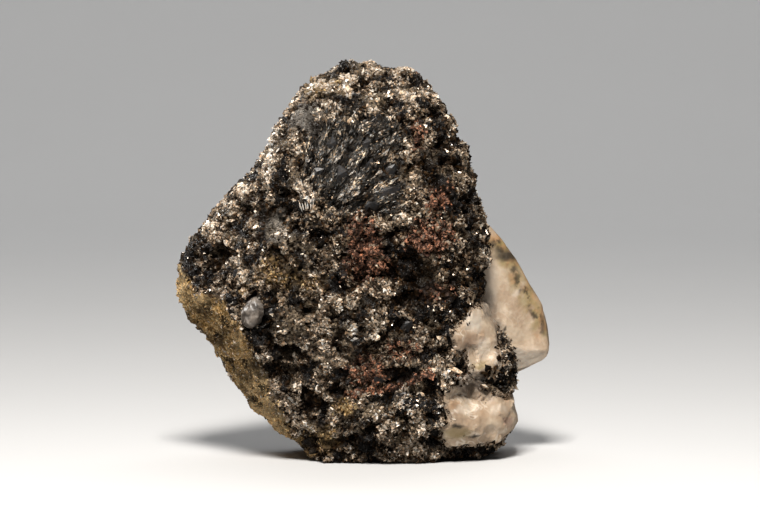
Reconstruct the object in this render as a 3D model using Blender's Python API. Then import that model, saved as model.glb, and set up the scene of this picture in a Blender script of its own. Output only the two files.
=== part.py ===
"""A hand-sized ore specimen: a stone of dark granular ore, grown together with milky quartz.

The front of the stone faces -Y, +Z is up, and it rests on a broken flat at z = 0.
Every form is a ball whose points are moved along their own directions to the stone's faces.
Sizes are in millimetres up to the moment when a mesh is made, which is in metres.
"""

import math

import bmesh
import bpy
import numpy as np
from mathutils import Vector, noise

MM = 0.001

# The front outline of the ore mass, as (x, z) in mm, clockwise from the summit. The last points
# on the underside lie below the floor, where the resting flat cuts the stone off.
ORE_CENTRE = (-2.5, 0.0, 25.0)
ORE_OUTLINE = (
    (-2.0, 59.8), (0.6, 59.8), (3.0, 58.9), (7.2, 57.9), (9.8, 56.5), (11.2, 53.9),
    (13.4, 51.0), (15.9, 46.8), (16.3, 43.5), (17.6, 40.0), (18.7, 36.0), (19.7, 31.0),
    (18.7, 28.2), (18.6, 24.0), (20.3, 19.9), (22.3, 17.2), (23.4, 13.4), (22.7, 10.2),
    (23.5, 6.3), (22.9, 3.6), (20.0, 1.6), (13.5, -0.6), (9.0, -5.0), (-5.5, -5.0),
    (-8.3, 1.5), (-10.8, 2.7), (-16.1, 7.4), (-19.4, 11.6), (-22.4, 16.9), (-25.9, 20.8),
    (-27.7, 23.2), (-28.0, 26.2), (-27.0, 29.0), (-23.8, 33.8), (-20.0, 38.5),
    (-16.2, 41.9), (-14.0, 45.3), (-12.4, 49.3), (-9.4, 54.0), (-7.2, 56.2), (-4.0, 57.5),
)
FRONT_DEPTH = 17.0
BACK_DEPTH = 16.0
ROUNDNESS = 3.1  # 2 is an ellipse from front to back, and more is squarer

# The edge between the dark front and the ochre side, as (x, z) in mm, and its depth in front
OCHRE_EDGE = (
    (-27.2, 29.4), (-25.0, 25.7), (-22.2, 24.4), (-18.5, 22.0), (-17.0, 17.8),
    (-14.0, 12.9), (-12.3, 9.6), (-10.7, 5.1), (-7.5, 1.8), (-5.5, -2.0),
)
OCHRE_EDGE_DEPTH = 13.5
GRAIN_ALLOWANCE = 0.3  # how far the solid keeps inside the outline, for the loose grains on it
REST_HEIGHT = 0.5  # the height of the cut, in the heights above, that becomes z = 0

# Broken faces that cut the swelling form: the way each faces, and a point that it passes through
ORE_FACES = {
    "crown slope": ((0.05, -0.70, 0.71), (0.0, -12.5, 48.0)),
    "left roof": ((-0.52, -0.66, 0.54), (-19.5, -11.5, 36.5)),
    "left flank of the peak": ((-0.72, -0.62, 0.31), (-11.5, -12.0, 45.0)),
    "right flank of the peak": ((0.74, -0.62, 0.26), (12.6, -10.5, 45.0)),
    "right flank": ((0.66, -0.75, 0.02), (15.8, -12.3, 30.0)),
    "front foot": ((-0.04, -0.86, -0.51), (0.0, -14.6, 4.5)),
    "back roof": ((0.08, 0.72, 0.69), (-2.0, 10.5, 50.0)),
    "back left": ((-0.66, 0.74, 0.12), (-16.0, 11.0, 27.0)),
    "back of the peak": ((-0.38, 0.84, 0.39), (-8.0, 13.0, 40.0)),
    "back right": ((0.70, 0.66, 0.27), (11.5, 9.5, 42.0)),
    "lower back left": ((-0.45, 0.72, -0.53), (-13.0, 11.5, 12.0)),
    "back foot": ((-0.10, 0.86, -0.50), (0.0, 13.5, 6.0)),
}

# Lumps and hollows of the ore's front: x, z, half width, half height and rise, in mm
ORE_RELIEF = {
    "hollow of smooth ore": (-3.5, 42.5, 8.5, 6.5, -1.0),
    "ledge above the hollow": (-1.0, 50.0, 9.0, 2.2, 0.7),
    "shelf under the hollow": (-13.5, 31.5, 10.0, 4.0, 1.3),
    "dark undercut": (-11.8, 36.6, 3.4, 1.6, -1.6),
    "upper red lump": (11.6, 38.0, 2.8, 2.6, 1.0),
    "right red lump": (10.2, 33.2, 3.6, 3.2, 1.2),
    "middle red lump": (0.4, 31.8, 3.6, 3.4, 0.9),
    "cleft between the red lumps": (5.2, 30.0, 1.8, 3.4, -1.3),
    "left pit": (-21.0, 30.4, 1.5, 1.8, -1.6),
    "right pit": (11.9, 51.0, 1.5, 1.2, -1.3),
    "slanting groove": (12.6, 47.6, 3.0, 1.0, -0.9),
    "middle swell": (-5.0, 20.5, 11.0, 5.0, 1.2),
    "dark hollow on the left": (-11.0, 14.2, 5.0, 3.2, -1.3),
    "groove over the lower ledge": (4.5, 11.6, 5.5, 1.5, -1.2),
    "lower ledge": (4.4, 7.2, 6.8, 3.0, 1.5),
    "hollow at the foot": (-1.5, 3.2, 3.0, 1.8, -1.0),
    "dark hollow by the ledge": (-8.0, 8.0, 3.2, 2.8, -1.5),
    "rim beside the quartz": (22.0, 13.5, 2.2, 5.5, 0.9),
    "sill under the quartz": (17.5, 2.2, 6.5, 1.3, 0.7),
}
RELIEF_FADE = 4.0  # how soon the relief comes in as the surface turns to the front

# Waves that make the edges of lumps and hollows wander: size in mm, turns by x and by z, start
WAVES_ACROSS = ((0.7, 0.0, 0.95, 0.5), (0.5, -0.9, 2.1, 0.0))
WAVES_UP = ((0.6, 0.85, 0.0, 0.0), (0.5, 1.9, 1.1, 0.0))

# The quartz shows at the front through a window in the ore, whose edge is given as (x, z) in mm,
# and stands out behind as a lobe. The two share one centre.
QUARTZ_CENTRE = (18.0, 1.0, 13.4)
WINDOW_OUTLINE = (
    (13.2, 20.3), (15.2, 21.2), (16.3, 22.9), (18.0, 23.4), (21.8, 23.8), (22.2, 20.6),
    (20.3, 19.2), (20.2, 17.2), (20.7, 14.0), (22.0, 10.7), (24.6, 8.4), (24.6, 5.2),
    (22.2, 3.9), (20.0, 3.0),
    (15.5, 2.8), (13.2, 2.5), (11.2, 3.9), (13.2, 7.4), (12.5, 9.2), (12.8, 12.0),
    (16.2, 13.2), (16.0, 15.2), (14.2, 17.2),
)
WINDOW_DEPTH = 5.0  # how far behind y = 0 the quartz of the window ends
WINDOW_RISE = 0.5  # how far the quartz stands out from the ore around it
WINDOW_RELIEF = {
    "hollow between the windows": (15.4, 10.5, 2.9, 1.7, -1.7),
    "brow of the lower window": (17.8, 7.0, 4.8, 1.5, 0.9),
    "dip of the upper window": (17.6, 17.0, 2.0, 2.6, -0.5),
}
ORE_CLUMP = (20.1, 11.4, 3.2, 1.9)  # ore that covers the quartz: x, z, half width, half height
CLUMP_THICKNESS = 3.0
POCKET_OPENING = 2.0  # how far the window's pocket runs out in front of the stone
LOBE_FACES = {
    "front": ((0.46, -0.88, 0.12), (22.5, 0.2, 22.0)),
    "front foot": ((0.30, -0.78, -0.55), (24.0, 1.5, 14.5)),
    "upper right slope": ((0.80, 0.16, 0.58), (23.9, 6.0, 28.3)),
    "right slope": ((0.95, -0.04, 0.31), (27.4, 5.0, 20.5)),
    "right back slope": ((0.84, 0.52, 0.15), (25.6, 11.5, 21.0)),
    "tip": ((0.98, 0.02, -0.18), (28.5, 4.5, 17.5)),
    "underside": ((0.40, -0.10, -0.92), (24.6, 5.0, 13.0)),
    "top": ((0.25, 0.32, 0.91), (18.5, 7.0, 34.4)),
    "back": ((0.22, 0.93, 0.30), (17.0, 17.5, 22.0)),
    "lower back": ((0.16, 0.84, -0.52), (14.0, 16.5, 10.0)),
    "left back": ((-0.55, 0.83, 0.05), (3.0, 15.0, 22.0)),
    "inner side": ((-0.97, -0.20, 0.10), (-2.0, 10.0, 20.0)),
    "inner front": ((-0.35, -0.93, 0.0), (8.0, 1.0, 20.0)),
}

# How crisp the edges between a form's faces are: less rounds them more
ORE_SHARPNESS = 55.0
WINDOW_SHARPNESS = 40.0
LOBE_SHARPNESS = 16.0

# Uneven ground, in mm: broad swells, and lumps with creases between them. A lump is flat from
# this share of its size up, and neither rises nor falls at the other.
LUMP_TOP, LUMP_LEVEL = 0.55, 0.28
ORE_GROUND = {"seed": 3.1, "swell": 0.5, "swell_size": 8.0, "lump": 1.6, "lump_size": 3.8}
QUARTZ_GROUND = {"seed": 8.4, "swell": 0.75, "swell_size": 10.0, "lump": 0.40, "lump_size": 5.5}
GRAIN_GROUND = {"seed": 5.0, "swell": 0.16, "swell_size": 2.6, "lump": 0.10, "lump_size": 1.8}

# A loose-looking grain of grey quartz, set in the ore beside the ochre side
GRAIN_CENTRE = (-15.3, -15.2, 22.8)
GRAIN_HALF_SIZE = (1.55, 1.5, 2.5)
GRAIN_TILT = math.radians(16.0)

FIT_GAP = 0.35  # between a piece and the pocket that holds it
BALL_LEVEL = 6
GRAIN_LEVEL = 3
ORE_TRIANGLES = 5000
QUARTZ_TRIANGLES = 2200
FURTHEST, HALVINGS = 60.0, 18  # the search for where the stone ends: mm, and how many steps
SHARP_EDGE_ANGLE = math.radians(28.0)  # faces that meet more steeply than this show an edge


def unit(vector):
    return np.array(vector, float) / np.linalg.norm(vector)


def soft_least(reaches, sharpness):
    """The least of several distances along each direction, rounded a little where two are equal."""
    stacked = np.maximum(np.array(reaches), 1e-3)
    least = stacked.min(axis=0)
    return least * ((stacked / least) ** -sharpness).sum(axis=0) ** (-1.0 / sharpness)


def face_reaches(directions, centre, faces, grown=0.0):
    """How far each direction goes from the centre before it meets each face, grown outwards."""
    reaches = []
    for facing, point in faces.values():
        normal = unit(facing)
        offset = float(np.dot(normal, np.subtract(point, centre))) + grown
        along = directions @ normal
        reaches.append(np.where(along > 1e-4, offset / np.maximum(along, 1e-4), 1e4))
    return reaches


def outline_reach(directions, centre, outline, closed=True):
    """How far each direction, seen from the front, goes before it crosses the outline."""
    starts = np.array(outline) - np.array([centre[0], centre[2]])
    runs = np.roll(starts, -1, axis=0) - starts
    if not closed:
        starts, runs = starts[:-1], runs[:-1]
    flat = directions[:, [0, 2]]
    flat = flat / np.maximum(np.linalg.norm(flat, axis=1, keepdims=True), 1e-6)
    across = flat[:, None, 0] * runs[None, :, 1] - flat[:, None, 1] * runs[None, :, 0]
    across = np.where(np.abs(across) < 1e-9, 1e-9, across)
    reach = (starts[:, 0] * runs[:, 1] - starts[:, 1] * runs[:, 0]) / across
    share = (starts[None, :, 0] * flat[:, None, 1] - starts[None, :, 1] * flat[:, None, 0]) / across
    hit = (reach > 0) & (share >= -1e-6) & (share <= 1 + 1e-6)
    return np.where(hit, reach, 1e4).min(axis=1)


def swollen_reach(directions, outline):
    """The ore's form before it is broken: its outline, swelling to the front and the back."""
    in_plane = np.linalg.norm(directions[:, [0, 2]], axis=1)
    depth = np.where(directions[:, 1] < 0, FRONT_DEPTH, BACK_DEPTH)
    total = (in_plane / outline) ** ROUNDNESS + (np.abs(directions[:, 1]) / depth) ** ROUNDNESS
    return total ** (-1.0 / ROUNDNESS)


def ochre_side_reach(directions, outline):
    """The slanting side from the ochre edge in front out to the stone's outline."""
    edge = outline_reach(directions, ORE_CENTRE, OCHRE_EDGE, closed=False)
    run = outline - edge
    in_plane = np.linalg.norm(directions[:, [0, 2]], axis=1)
    slant = outline / (in_plane - directions[:, 1] * run / OCHRE_EDGE_DEPTH)
    return np.where((edge < 1e3) & (run > 0) & (directions[:, 1] < 0), slant, 1e4)


def waves(across, up, terms):
    """The sum of several waves over the front."""
    return sum(size * np.sin(by_x * across + by_z * up + start) for size, by_x, by_z, start in terms)


def relief(points, shapes):
    """The rise of named lumps and hollows at each point of the front, with wandering edges."""
    across, up = points[:, 0], points[:, 2]
    wandered = across + waves(across, up, WAVES_ACROSS)
    lifted = up + waves(across, up, WAVES_UP)
    rise = np.zeros(len(points))
    for x, z, half_width, half_height, height in shapes.values():
        far = ((wandered - x) / half_width) ** 2 + ((lifted - z) / half_height) ** 2
        rise += height * np.exp(-far * far)
    return rise


def roughness(points, seed, swell, swell_size, lump, lump_size):
    """How far the uneven ground rises or falls at each point."""
    shift = Vector((seed, 2.3 * seed, -1.7 * seed))
    rise = np.empty(len(points))
    for i, point in enumerate(points):
        place = Vector(point)
        broad = noise.fractal(place / swell_size + shift, 0.9, 2.1, 3)
        nearest, second = noise.voronoi(place / lump_size + shift)[0][:2]
        rise[i] = swell * broad + lump * (min(second - nearest, LUMP_TOP) - LUMP_LEVEL)
    return rise


def stone_form(directions):
    """The distance from the ore's centre to the stone's broken faces, along each direction."""
    outline = outline_reach(directions, ORE_CENTRE, ORE_OUTLINE)
    reaches = [swollen_reach(directions, outline), ochre_side_reach(directions, outline)]
    reaches += face_reaches(directions, ORE_CENTRE, ORE_FACES)
    reach = soft_least(reaches, ORE_SHARPNESS)
    points = directions * reach[:, None] + ORE_CENTRE
    facing_front = np.clip(-directions[:, 1] * RELIEF_FADE, 0.0, 1.0)
    return reach + relief(points, ORE_RELIEF) * facing_front - GRAIN_ALLOWANCE


def ore_form(directions):
    """The stone's broken faces with the uneven ground of the ore on them."""
    reach = stone_form(directions)
    points = directions * reach[:, None] + ORE_CENTRE
    return reach + roughness(points, **ORE_GROUND)


def reach_to_stone(directions, centre):
    """How far each direction goes from a centre inside the stone before it leaves the stone."""
    near = np.zeros(len(directions))
    far = np.full(len(directions), FURTHEST)
    for _ in range(HALVINGS):
        middle = (near + far) / 2
        offsets = directions * middle[:, None] + np.subtract(centre, ORE_CENTRE)
        lengths = np.maximum(np.linalg.norm(offsets, axis=1), 1e-6)
        inside = lengths < stone_form(offsets / lengths[:, None])
        near = np.where(inside, middle, near)
        far = np.where(inside, far, middle)
    return (near + far) / 2


def window_reach(directions, rise, cover, shapes, grown):
    """The quartz of the window: its outline run through the stone, ending just proud of it.

    The rise is how far it stands out, and the cover how deep it goes under the clump of ore.
    """
    in_plane = np.maximum(np.linalg.norm(directions[:, [0, 2]], axis=1), 1e-6)
    outline = outline_reach(directions, QUARTZ_CENTRE, WINDOW_OUTLINE) + grown
    front = reach_to_stone(directions, QUARTZ_CENTRE)
    points = directions * front[:, None] + QUARTZ_CENTRE
    front = front + rise + relief(points, shapes) + relief(points, {"clump": (*ORE_CLUMP, -cover)})
    inner_end = {"inner end": ((0.0, 1.0, 0.0), (0.0, WINDOW_DEPTH, 0.0))}
    ends = face_reaches(directions, QUARTZ_CENTRE, inner_end, grown)
    return soft_least([outline / in_plane, front + grown, *ends], WINDOW_SHARPNESS)


def quartz_form(directions):
    """The distance from the quartz's centre to its surface: the further of window and lobe."""
    window = window_reach(directions, WINDOW_RISE, CLUMP_THICKNESS, WINDOW_RELIEF, 0.0)
    lobe = soft_least(face_reaches(directions, QUARTZ_CENTRE, LOBE_FACES), LOBE_SHARPNESS)
    reach = np.maximum(window, lobe)
    points = directions * reach[:, None] + QUARTZ_CENTRE
    return reach + roughness(points, **QUARTZ_GROUND)


def pocket_form(directions):
    """The hollow for the quartz, which opens the whole window but keeps the clump of ore."""
    rise, cover = WINDOW_RISE + POCKET_OPENING, CLUMP_THICKNESS + POCKET_OPENING
    window = window_reach(directions, rise, cover, {}, FIT_GAP)
    faces = face_reaches(directions, QUARTZ_CENTRE, LOBE_FACES, FIT_GAP)
    reach = np.maximum(window, soft_least(faces, LOBE_SHARPNESS))
    points = directions * reach[:, None] + QUARTZ_CENTRE
    return reach + roughness(points, **QUARTZ_GROUND)


def ball(name, level):
    """A ball of even triangles, of radius 1."""
    bpy.ops.mesh.primitive_ico_sphere_add(subdivisions=level, radius=1.0)
    made = bpy.context.object
    made.name = made.data.name = name
    return made


def points_of(made):
    flat = np.empty(len(made.data.vertices) * 3)
    made.data.vertices.foreach_get("co", flat)
    return flat.reshape(-1, 3)


def set_points(made, points_mm):
    made.data.vertices.foreach_set("co", (points_mm * MM).ravel())
    made.data.update()


def formed_ball(name, level, centre, form):
    """A ball whose points are moved along their directions to the form."""
    made = ball(name, level)
    directions = points_of(made)
    directions /= np.linalg.norm(directions, axis=1, keepdims=True)
    set_points(made, directions * form(directions)[:, None] + centre)
    return made


def apply_modifiers(made):
    graph = bpy.context.evaluated_depsgraph_get()
    mesh = bpy.data.meshes.new_from_object(made.evaluated_get(graph))
    mesh.name = made.data.name
    made.modifiers.clear()
    made.data = mesh


def thin_out(made, triangles):
    """Fewer, larger triangles, with the most where the surface bends most."""
    modifier = made.modifiers.new("fewer_triangles", "DECIMATE")
    modifier.ratio = triangles / len(made.data.polygons)
    apply_modifiers(made)


def cut_off_below(made, height):
    """Cuts the stone off flat at a height, and closes the cut, which is what it rests on."""
    bm = bmesh.new()
    bm.from_mesh(made.data)
    whole = bm.verts[:] + bm.edges[:] + bm.faces[:]
    cut = bmesh.ops.bisect_plane(
        bm, geom=whole, dist=1e-6, plane_co=(0, 0, height), plane_no=(0, 0, 1), clear_inner=True
    )
    rim = [piece for piece in cut["geom_cut"] if isinstance(piece, bmesh.types.BMEdge)]
    flats = bmesh.ops.holes_fill(bm, edges=rim, sides=0)["faces"]
    bmesh.ops.triangulate(bm, faces=flats)
    bmesh.ops.recalc_face_normals(bm, faces=bm.faces)
    bm.to_mesh(made.data)
    bm.free()


def subtract(made, cutter):
    modifier = made.modifiers.new("pocket_for_" + cutter.name, "BOOLEAN")
    modifier.operation = "DIFFERENCE"
    modifier.object = cutter


def finish(name, colour, roughness_value):
    """A plain finish in the mineral's own colour."""
    material = bpy.data.materials.new(name)
    material.use_nodes = True
    shader = material.node_tree.nodes["Principled BSDF"]
    shader.inputs["Base Color"].default_value = (*colour, 1.0)
    shader.inputs["Roughness"].default_value = roughness_value
    shader.inputs["Metallic"].default_value = 0.0
    return material


def ore_mass():
    made = formed_ball("ore_mass", BALL_LEVEL, ORE_CENTRE, ore_form)
    thin_out(made, ORE_TRIANGLES)
    cut_off_below(made, REST_HEIGHT * MM)
    made.data.materials.append(finish("dark_ore", (0.085, 0.075, 0.065), 0.55))
    return made


def quartz_mass():
    made = formed_ball("quartz_mass", BALL_LEVEL, QUARTZ_CENTRE, quartz_form)
    thin_out(made, QUARTZ_TRIANGLES)
    made.data.materials.append(finish("milky_quartz", (0.74, 0.62, 0.49), 0.45))
    return made


def grain_form(directions):
    """A lopsided egg, tilted in the plane of the front."""
    turn = np.array(
        [
            [math.cos(GRAIN_TILT), 0.0, math.sin(GRAIN_TILT)],
            [0.0, 1.0, 0.0],
            [-math.sin(GRAIN_TILT), 0.0, math.cos(GRAIN_TILT)],
        ]
    )
    own = directions @ turn
    reach = 1.0 / np.linalg.norm(own / np.array(GRAIN_HALF_SIZE), axis=1)
    points = directions * reach[:, None]
    return reach + roughness(points, **GRAIN_GROUND)


def grain_pocket_form(directions):
    return grain_form(directions) + FIT_GAP


def quartz_grain():
    made = formed_ball("quartz_grain", GRAIN_LEVEL, GRAIN_CENTRE, grain_form)
    made.data.materials.append(finish("grey_quartz", (0.42, 0.38, 0.34), 0.35))
    return made


def cutter_from(made, name, centre, form, pocket):
    """A copy of a piece, each point pushed out from the centre by what its pocket has over it."""
    cutter = made.copy()
    cutter.data = made.data.copy()
    cutter.name = cutter.data.name = name
    bpy.context.scene.collection.objects.link(cutter)
    offsets = points_of(cutter) / MM - centre
    lengths = np.linalg.norm(offsets, axis=1, keepdims=True)
    directions = offsets / lengths
    push = np.maximum(pocket(directions) - form(directions), FIT_GAP)
    set_points(cutter, directions * (lengths + push[:, None]) + centre)
    cutter.hide_render = True
    cutter.display_type = "WIRE"
    return cutter


def move_to_collection(made, collection):
    for old in list(made.users_collection):
        old.objects.unlink(made)
    collection.objects.link(made)


def rest_on_origin(objects, cutters):
    """Moves everything so that the origin is under the middle of the stone's box, at its rest."""
    corners = np.concatenate([points_of(made) for made in objects])
    origin = (corners.min(axis=0) + corners.max(axis=0)) / 2
    origin[2] = REST_HEIGHT * MM
    for made in (*objects, *cutters):
        set_points(made, (points_of(made) - origin) / MM)


def main():
    for old in list(bpy.data.objects):
        bpy.data.objects.remove(old, do_unlink=True)
    specimen = bpy.data.collections.new("ore_specimen")
    helpers = bpy.data.collections.new("cutters")
    for collection in (specimen, helpers):
        bpy.context.scene.collection.children.link(collection)
    ore, quartz, grain = ore_mass(), quartz_mass(), quartz_grain()
    cutters = (
        cutter_from(quartz, "quartz_pocket", QUARTZ_CENTRE, quartz_form, pocket_form),
        cutter_from(grain, "grain_pocket", GRAIN_CENTRE, grain_form, grain_pocket_form),
    )
    for cutter in cutters:
        subtract(ore, cutter)
    apply_modifiers(ore)
    for made in (ore, quartz, grain):
        made.data.shade_smooth()
        made.data.set_sharp_from_angle(angle=SHARP_EDGE_ANGLE)
        move_to_collection(made, specimen)
    for cutter in cutters:
        move_to_collection(cutter, helpers)
    rest_on_origin((ore, quartz, grain), cutters)


main()
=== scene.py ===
import math

import bmesh
import bpy
import numpy as np
from mathutils import Matrix, Vector, noise
from mathutils.bvhtree import BVHTree


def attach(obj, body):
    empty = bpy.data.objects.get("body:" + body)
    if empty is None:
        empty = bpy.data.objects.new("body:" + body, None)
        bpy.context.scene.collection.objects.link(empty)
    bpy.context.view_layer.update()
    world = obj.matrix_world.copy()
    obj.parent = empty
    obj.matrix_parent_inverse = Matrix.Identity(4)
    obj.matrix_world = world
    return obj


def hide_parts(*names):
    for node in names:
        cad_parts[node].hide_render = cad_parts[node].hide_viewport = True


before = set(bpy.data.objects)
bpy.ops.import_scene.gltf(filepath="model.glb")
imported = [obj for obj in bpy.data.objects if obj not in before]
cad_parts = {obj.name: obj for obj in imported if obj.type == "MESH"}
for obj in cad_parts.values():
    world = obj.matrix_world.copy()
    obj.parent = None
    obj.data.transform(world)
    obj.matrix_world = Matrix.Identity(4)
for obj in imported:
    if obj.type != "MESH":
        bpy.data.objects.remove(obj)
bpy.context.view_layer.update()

# The looks of a broken stone of dark granular silver ore, grown together with milky quartz.
# Places and sizes are in millimetres in the stone's own frame: x to the right, z up, -y to the front.
MM = 0.001
SEED = 11

# How finely the minerals' surfaces are made
ORE_VOXEL = 0.36
QUARTZ_VOXEL = 0.34
GRAIN_VOXEL = 0.16

# The ore's relief: the size of each kind of form and how far it rises
CLUMP_SIZE, CLUMP_RISE = 3.4, 0.9
FACE_SIZE, FACE_RISE = 2.1, 1.35
CHIP_SIZE, CHIP_RISE = 0.85, 1.25
COMMON_RISE, MOST_RISE, JITTER = 0.12, 0.42, 0.05
RUST_RISE, SIDE_RISE = 1.3, 0.9
HOLLOW_DEPTH, PIT_DEPTH = 1.25, 0.45
PLATE_BELOW = 0.10  # the broken faces whose own number, from -1 to 1, is lower are bare dark plates
TILT_NOISE, NUMBER_NOISE = 5.3, 17.0  # how far apart two faces' tilts and numbers are in the noise
FIBRE_ROOT_X, FIBRE_ROOT_Z = -9.5, 33.0  # where the dark fibrous ore's streaks fan out from
FIBRES_A_RADIAN, STREAK_LENGTH, STREAK_DEPTH, FIBRE_RISE = 13.0, 6.0, 3.0, 1.2
SMOOTHING_ROUNDS, SMOOTHING = 24, 0.2

# Clouds of chance: their size, their place in the noise, and the noise at which they begin and are whole
BACK_RUST = (9.0, 21.0, 0.22, 0.42)
BACK_OCHRE = (11.0, 47.0, 0.12, 0.40)
LIGHT_CLOUDS = (4.4, 5.0, 0.12, 0.55)
HOLLOW_CLOUDS = (3.0, 63.0, 0.24, 0.55)
PITS = (1.3, 83.0, 0.12, 0.50)
CLUSTERS = (1.6, 91.0, -0.42, 0.42)
STAIN_CLOUDS = (3.2, 71.0, 0.05, 0.4)
RUST_LUMPS = (1.0, 31.0, -0.3, 0.3)
SIDE_LUMPS = (2.4, 37.0, -0.5, 0.5)
SPILL_EDGE = (1.5, 12.0, -0.3, 0.6)
FOOT_WAVES = (3.0, 17.0, -0.6, 0.6)
CLEAN_QUARTZ = (3.2, 58.0, -0.30, 0.05)
BAND_RUST = (1.6, 27.0, 0.05, 0.35)
BAND_OLIVE = (1.9, 44.0, -0.25, 0.15)
BAND_SMUDGE = (0.8, 15.0, 0.0, 0.3)

# From which depth to which the front passes into the back, for the ore's colours and for its grains
BACK_COLOURS, BACK_GRAINS = (1.0, 5.0), (2.0, 6.0)
FRONT_FADE = 3.0  # over how much depth a patch of the front fades out
EVERY_DEPTH = 40.0  # far beyond the stone's front and back

# Grains scattered on the ore: how many to the square millimetre, and their half sizes
GRAINS_PER_MM2 = 27.5
BACK_SHARE = 0.40  # so many of them stay on the back, where they are larger
GRAIN_HALF_SIZE, GRAIN_SPREAD = 0.122, 0.57
LARGEST_GRAIN = 2.9  # times the common half size
COARSE_GRAIN = 0.24
LONGEST_SLIVER = 1.1
LOOSENESS, FIBRE_LOOSENESS, FIBRE_STRAY = 0.45, 0.08, 0.16  # how far grains tilt out of the surface and stray
OUT_OF_TRUE = 0.17
LOWEST_PLACE, LOWEST_CORNER = 0.2, 0.02  # no grain is set lower than this, and none reaches lower
MOST_FACES_A_PIECE = 190000

# Painted light and shade by height: how much paler the ore is painted at each height, standing for how the
# lamps light it from the foot to the top: z, added paleness
PAINTED_PALENESS_Z = (0.0, 5.0, 14.0, 30.0, 42.0, 52.0, 58.0)
PAINTED_PALENESS = (-0.14, 0.30, 0.31, 0.06, 0.16, 0.33, 0.27)
PAINTED_SHADE_DARKER_BY = 0.30  # how much less pale the ore is painted in the patches of painted shade and of darker ore

# Where each kind of ground, and each patch of painted light or shade, lies on the front: x, z, half width,
# half height, strength
RUST = (
    (0.1, 31.8, 2.4, 4.6, 1.0),
    (1.2, 29.2, 3.0, 1.7, 0.9),
    (11.0, 38.6, 1.5, 2.2, 0.9),
    (9.4, 33.4, 3.3, 2.2, 1.0),
    (11.2, 25.3, 2.4, 1.4, 0.5),
    (5.8, 17.2, 2.6, 1.4, 0.7),
    (1.0, 13.9, 3.0, 2.2, 0.7),
    (8.0, 47.8, 1.3, 1.8, 0.7),
    (16.0, 12.4, 1.4, 1.0, 0.5),
)
RUST_SEAM = ((-2.4, 10.6), (1.0, 11.1), (4.4, 11.5), (7.4, 12.6), (9.8, 13.7))  # a long low ridge: x, z
SEAM_HALF_WIDTH, SEAM_RISE, SEAM_HEADROOM = 0.46, 0.9, 0.4
OCHRE = (
    (-12.2, 28.3, 3.0, 2.4, 0.5),
    (-2.7, 8.6, 1.3, 1.3, 0.9),
    (-5.6, 3.6, 2.2, 2.0, 0.8),
    (-7.9, 26.6, 2.2, 1.3, 0.5),
    (-17.1, 25.5, 1.0, 0.8, 0.7),
    (-7.6, 54.6, 2.4, 1.0, 0.45),
    (-3.6, 54.4, 1.0, 0.8, 0.35),
)
# Pale patches; the first, along the left edge, is a painted highlight where the rim lamp catches the edge
PALE_AND_PAINTED_HIGHLIGHT = (
    (-14.2, 46.4, 0.8, 3.2, 1.0),
    (-7.2, 54.4, 2.8, 1.8, 1.0),
    (-2.7, 54.7, 1.8, 1.3, 1.0),
    (5.7, 54.0, 1.6, 1.0, 0.9),
    (6.1, 57.6, 2.4, 1.2, 0.5),
    (0.2, 58.0, 2.0, 1.6, 0.5),
    (1.0, 52.9, 2.0, 1.2, 0.6),
    (-2.0, 50.4, 1.1, 0.9, 0.7),
    (3.2, 45.5, 1.3, 1.0, 0.7),
    (7.6, 42.1, 2.0, 1.8, 0.6),
    (15.8, 44.8, 1.2, 3.0, 0.6),
    (17.2, 36.6, 1.3, 1.2, 0.5),
    (-23.0, 34.1, 1.4, 1.0, 0.9),
    (-17.5, 39.3, 1.2, 1.0, 0.8),
    (-19.8, 37.1, 1.5, 1.0, 0.6),
    (-19.8, 32.9, 2.4, 0.8, 0.6),
    (-11.6, 32.4, 2.0, 1.2, 0.5),
    (-17.1, 25.5, 1.3, 0.9, 0.9),
    (-5.7, 36.6, 1.3, 0.9, 0.7),
    (6.1, 36.2, 1.5, 0.8, 0.6),
    (-2.0, 20.3, 1.0, 1.0, 0.8),
    (-9.4, 21.0, 3.7, 2.1, 0.35),
    (-2.7, 24.0, 2.4, 0.8, 0.5),
    (-5.7, 15.8, 1.6, 0.8, 0.6),
    (1.7, 7.7, 2.1, 1.3, 0.9),
    (7.6, 11.4, 1.5, 1.0, 0.9),
    (6.6, 6.2, 2.4, 0.9, 0.9),
    (12.5, 13.6, 1.3, 0.6, 0.7),
)
# Where bright flakes lie: their near-white colour partly paints in glints, and the first patch, along the
# left edge, is a painted highlight where the rim lamp catches the edge
FLAKES_AND_PAINTED_GLINTS = (
    (-14.0, 46.0, 1.0, 3.4, 1.0),
    (-8.2, 39.3, 1.1, 1.1, 0.9),
    (-1.0, 41.5, 0.7, 1.5, 0.7),
    (-2.0, 20.3, 0.9, 0.9, 0.6),
    (7.2, 9.9, 1.8, 1.3, 0.9),
    (1.7, 7.7, 1.8, 1.2, 0.6),
    (10.6, 8.4, 1.2, 1.2, 0.5),
)
FIBROUS = (
    (-2.4, 44.0, 5.4, 6.0, 1.0),
    (3.6, 39.6, 2.6, 2.4, 1.0),
    (3.0, 48.0, 2.6, 2.4, 0.6),
)
# Patches painted darker: the first, on the right flank, is painted shade where the lamps light it less; the
# other two are just darker
PAINTED_SHADE_AND_DARKER = ((13.8, 43.0, 5.0, 9.0, 0.8), (1.5, 14.0, 5.0, 3.0, 1.1), (12.5, 22.0, 4.0, 5.0, 0.6))
HAZE = ((-12.3, 35.0, 1.9, 2.3, 1.0), (-8.2, 50.2, 2.8, 2.2, 1.0), (-6.3, 47.0, 2.2, 1.4, 0.7))
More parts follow.
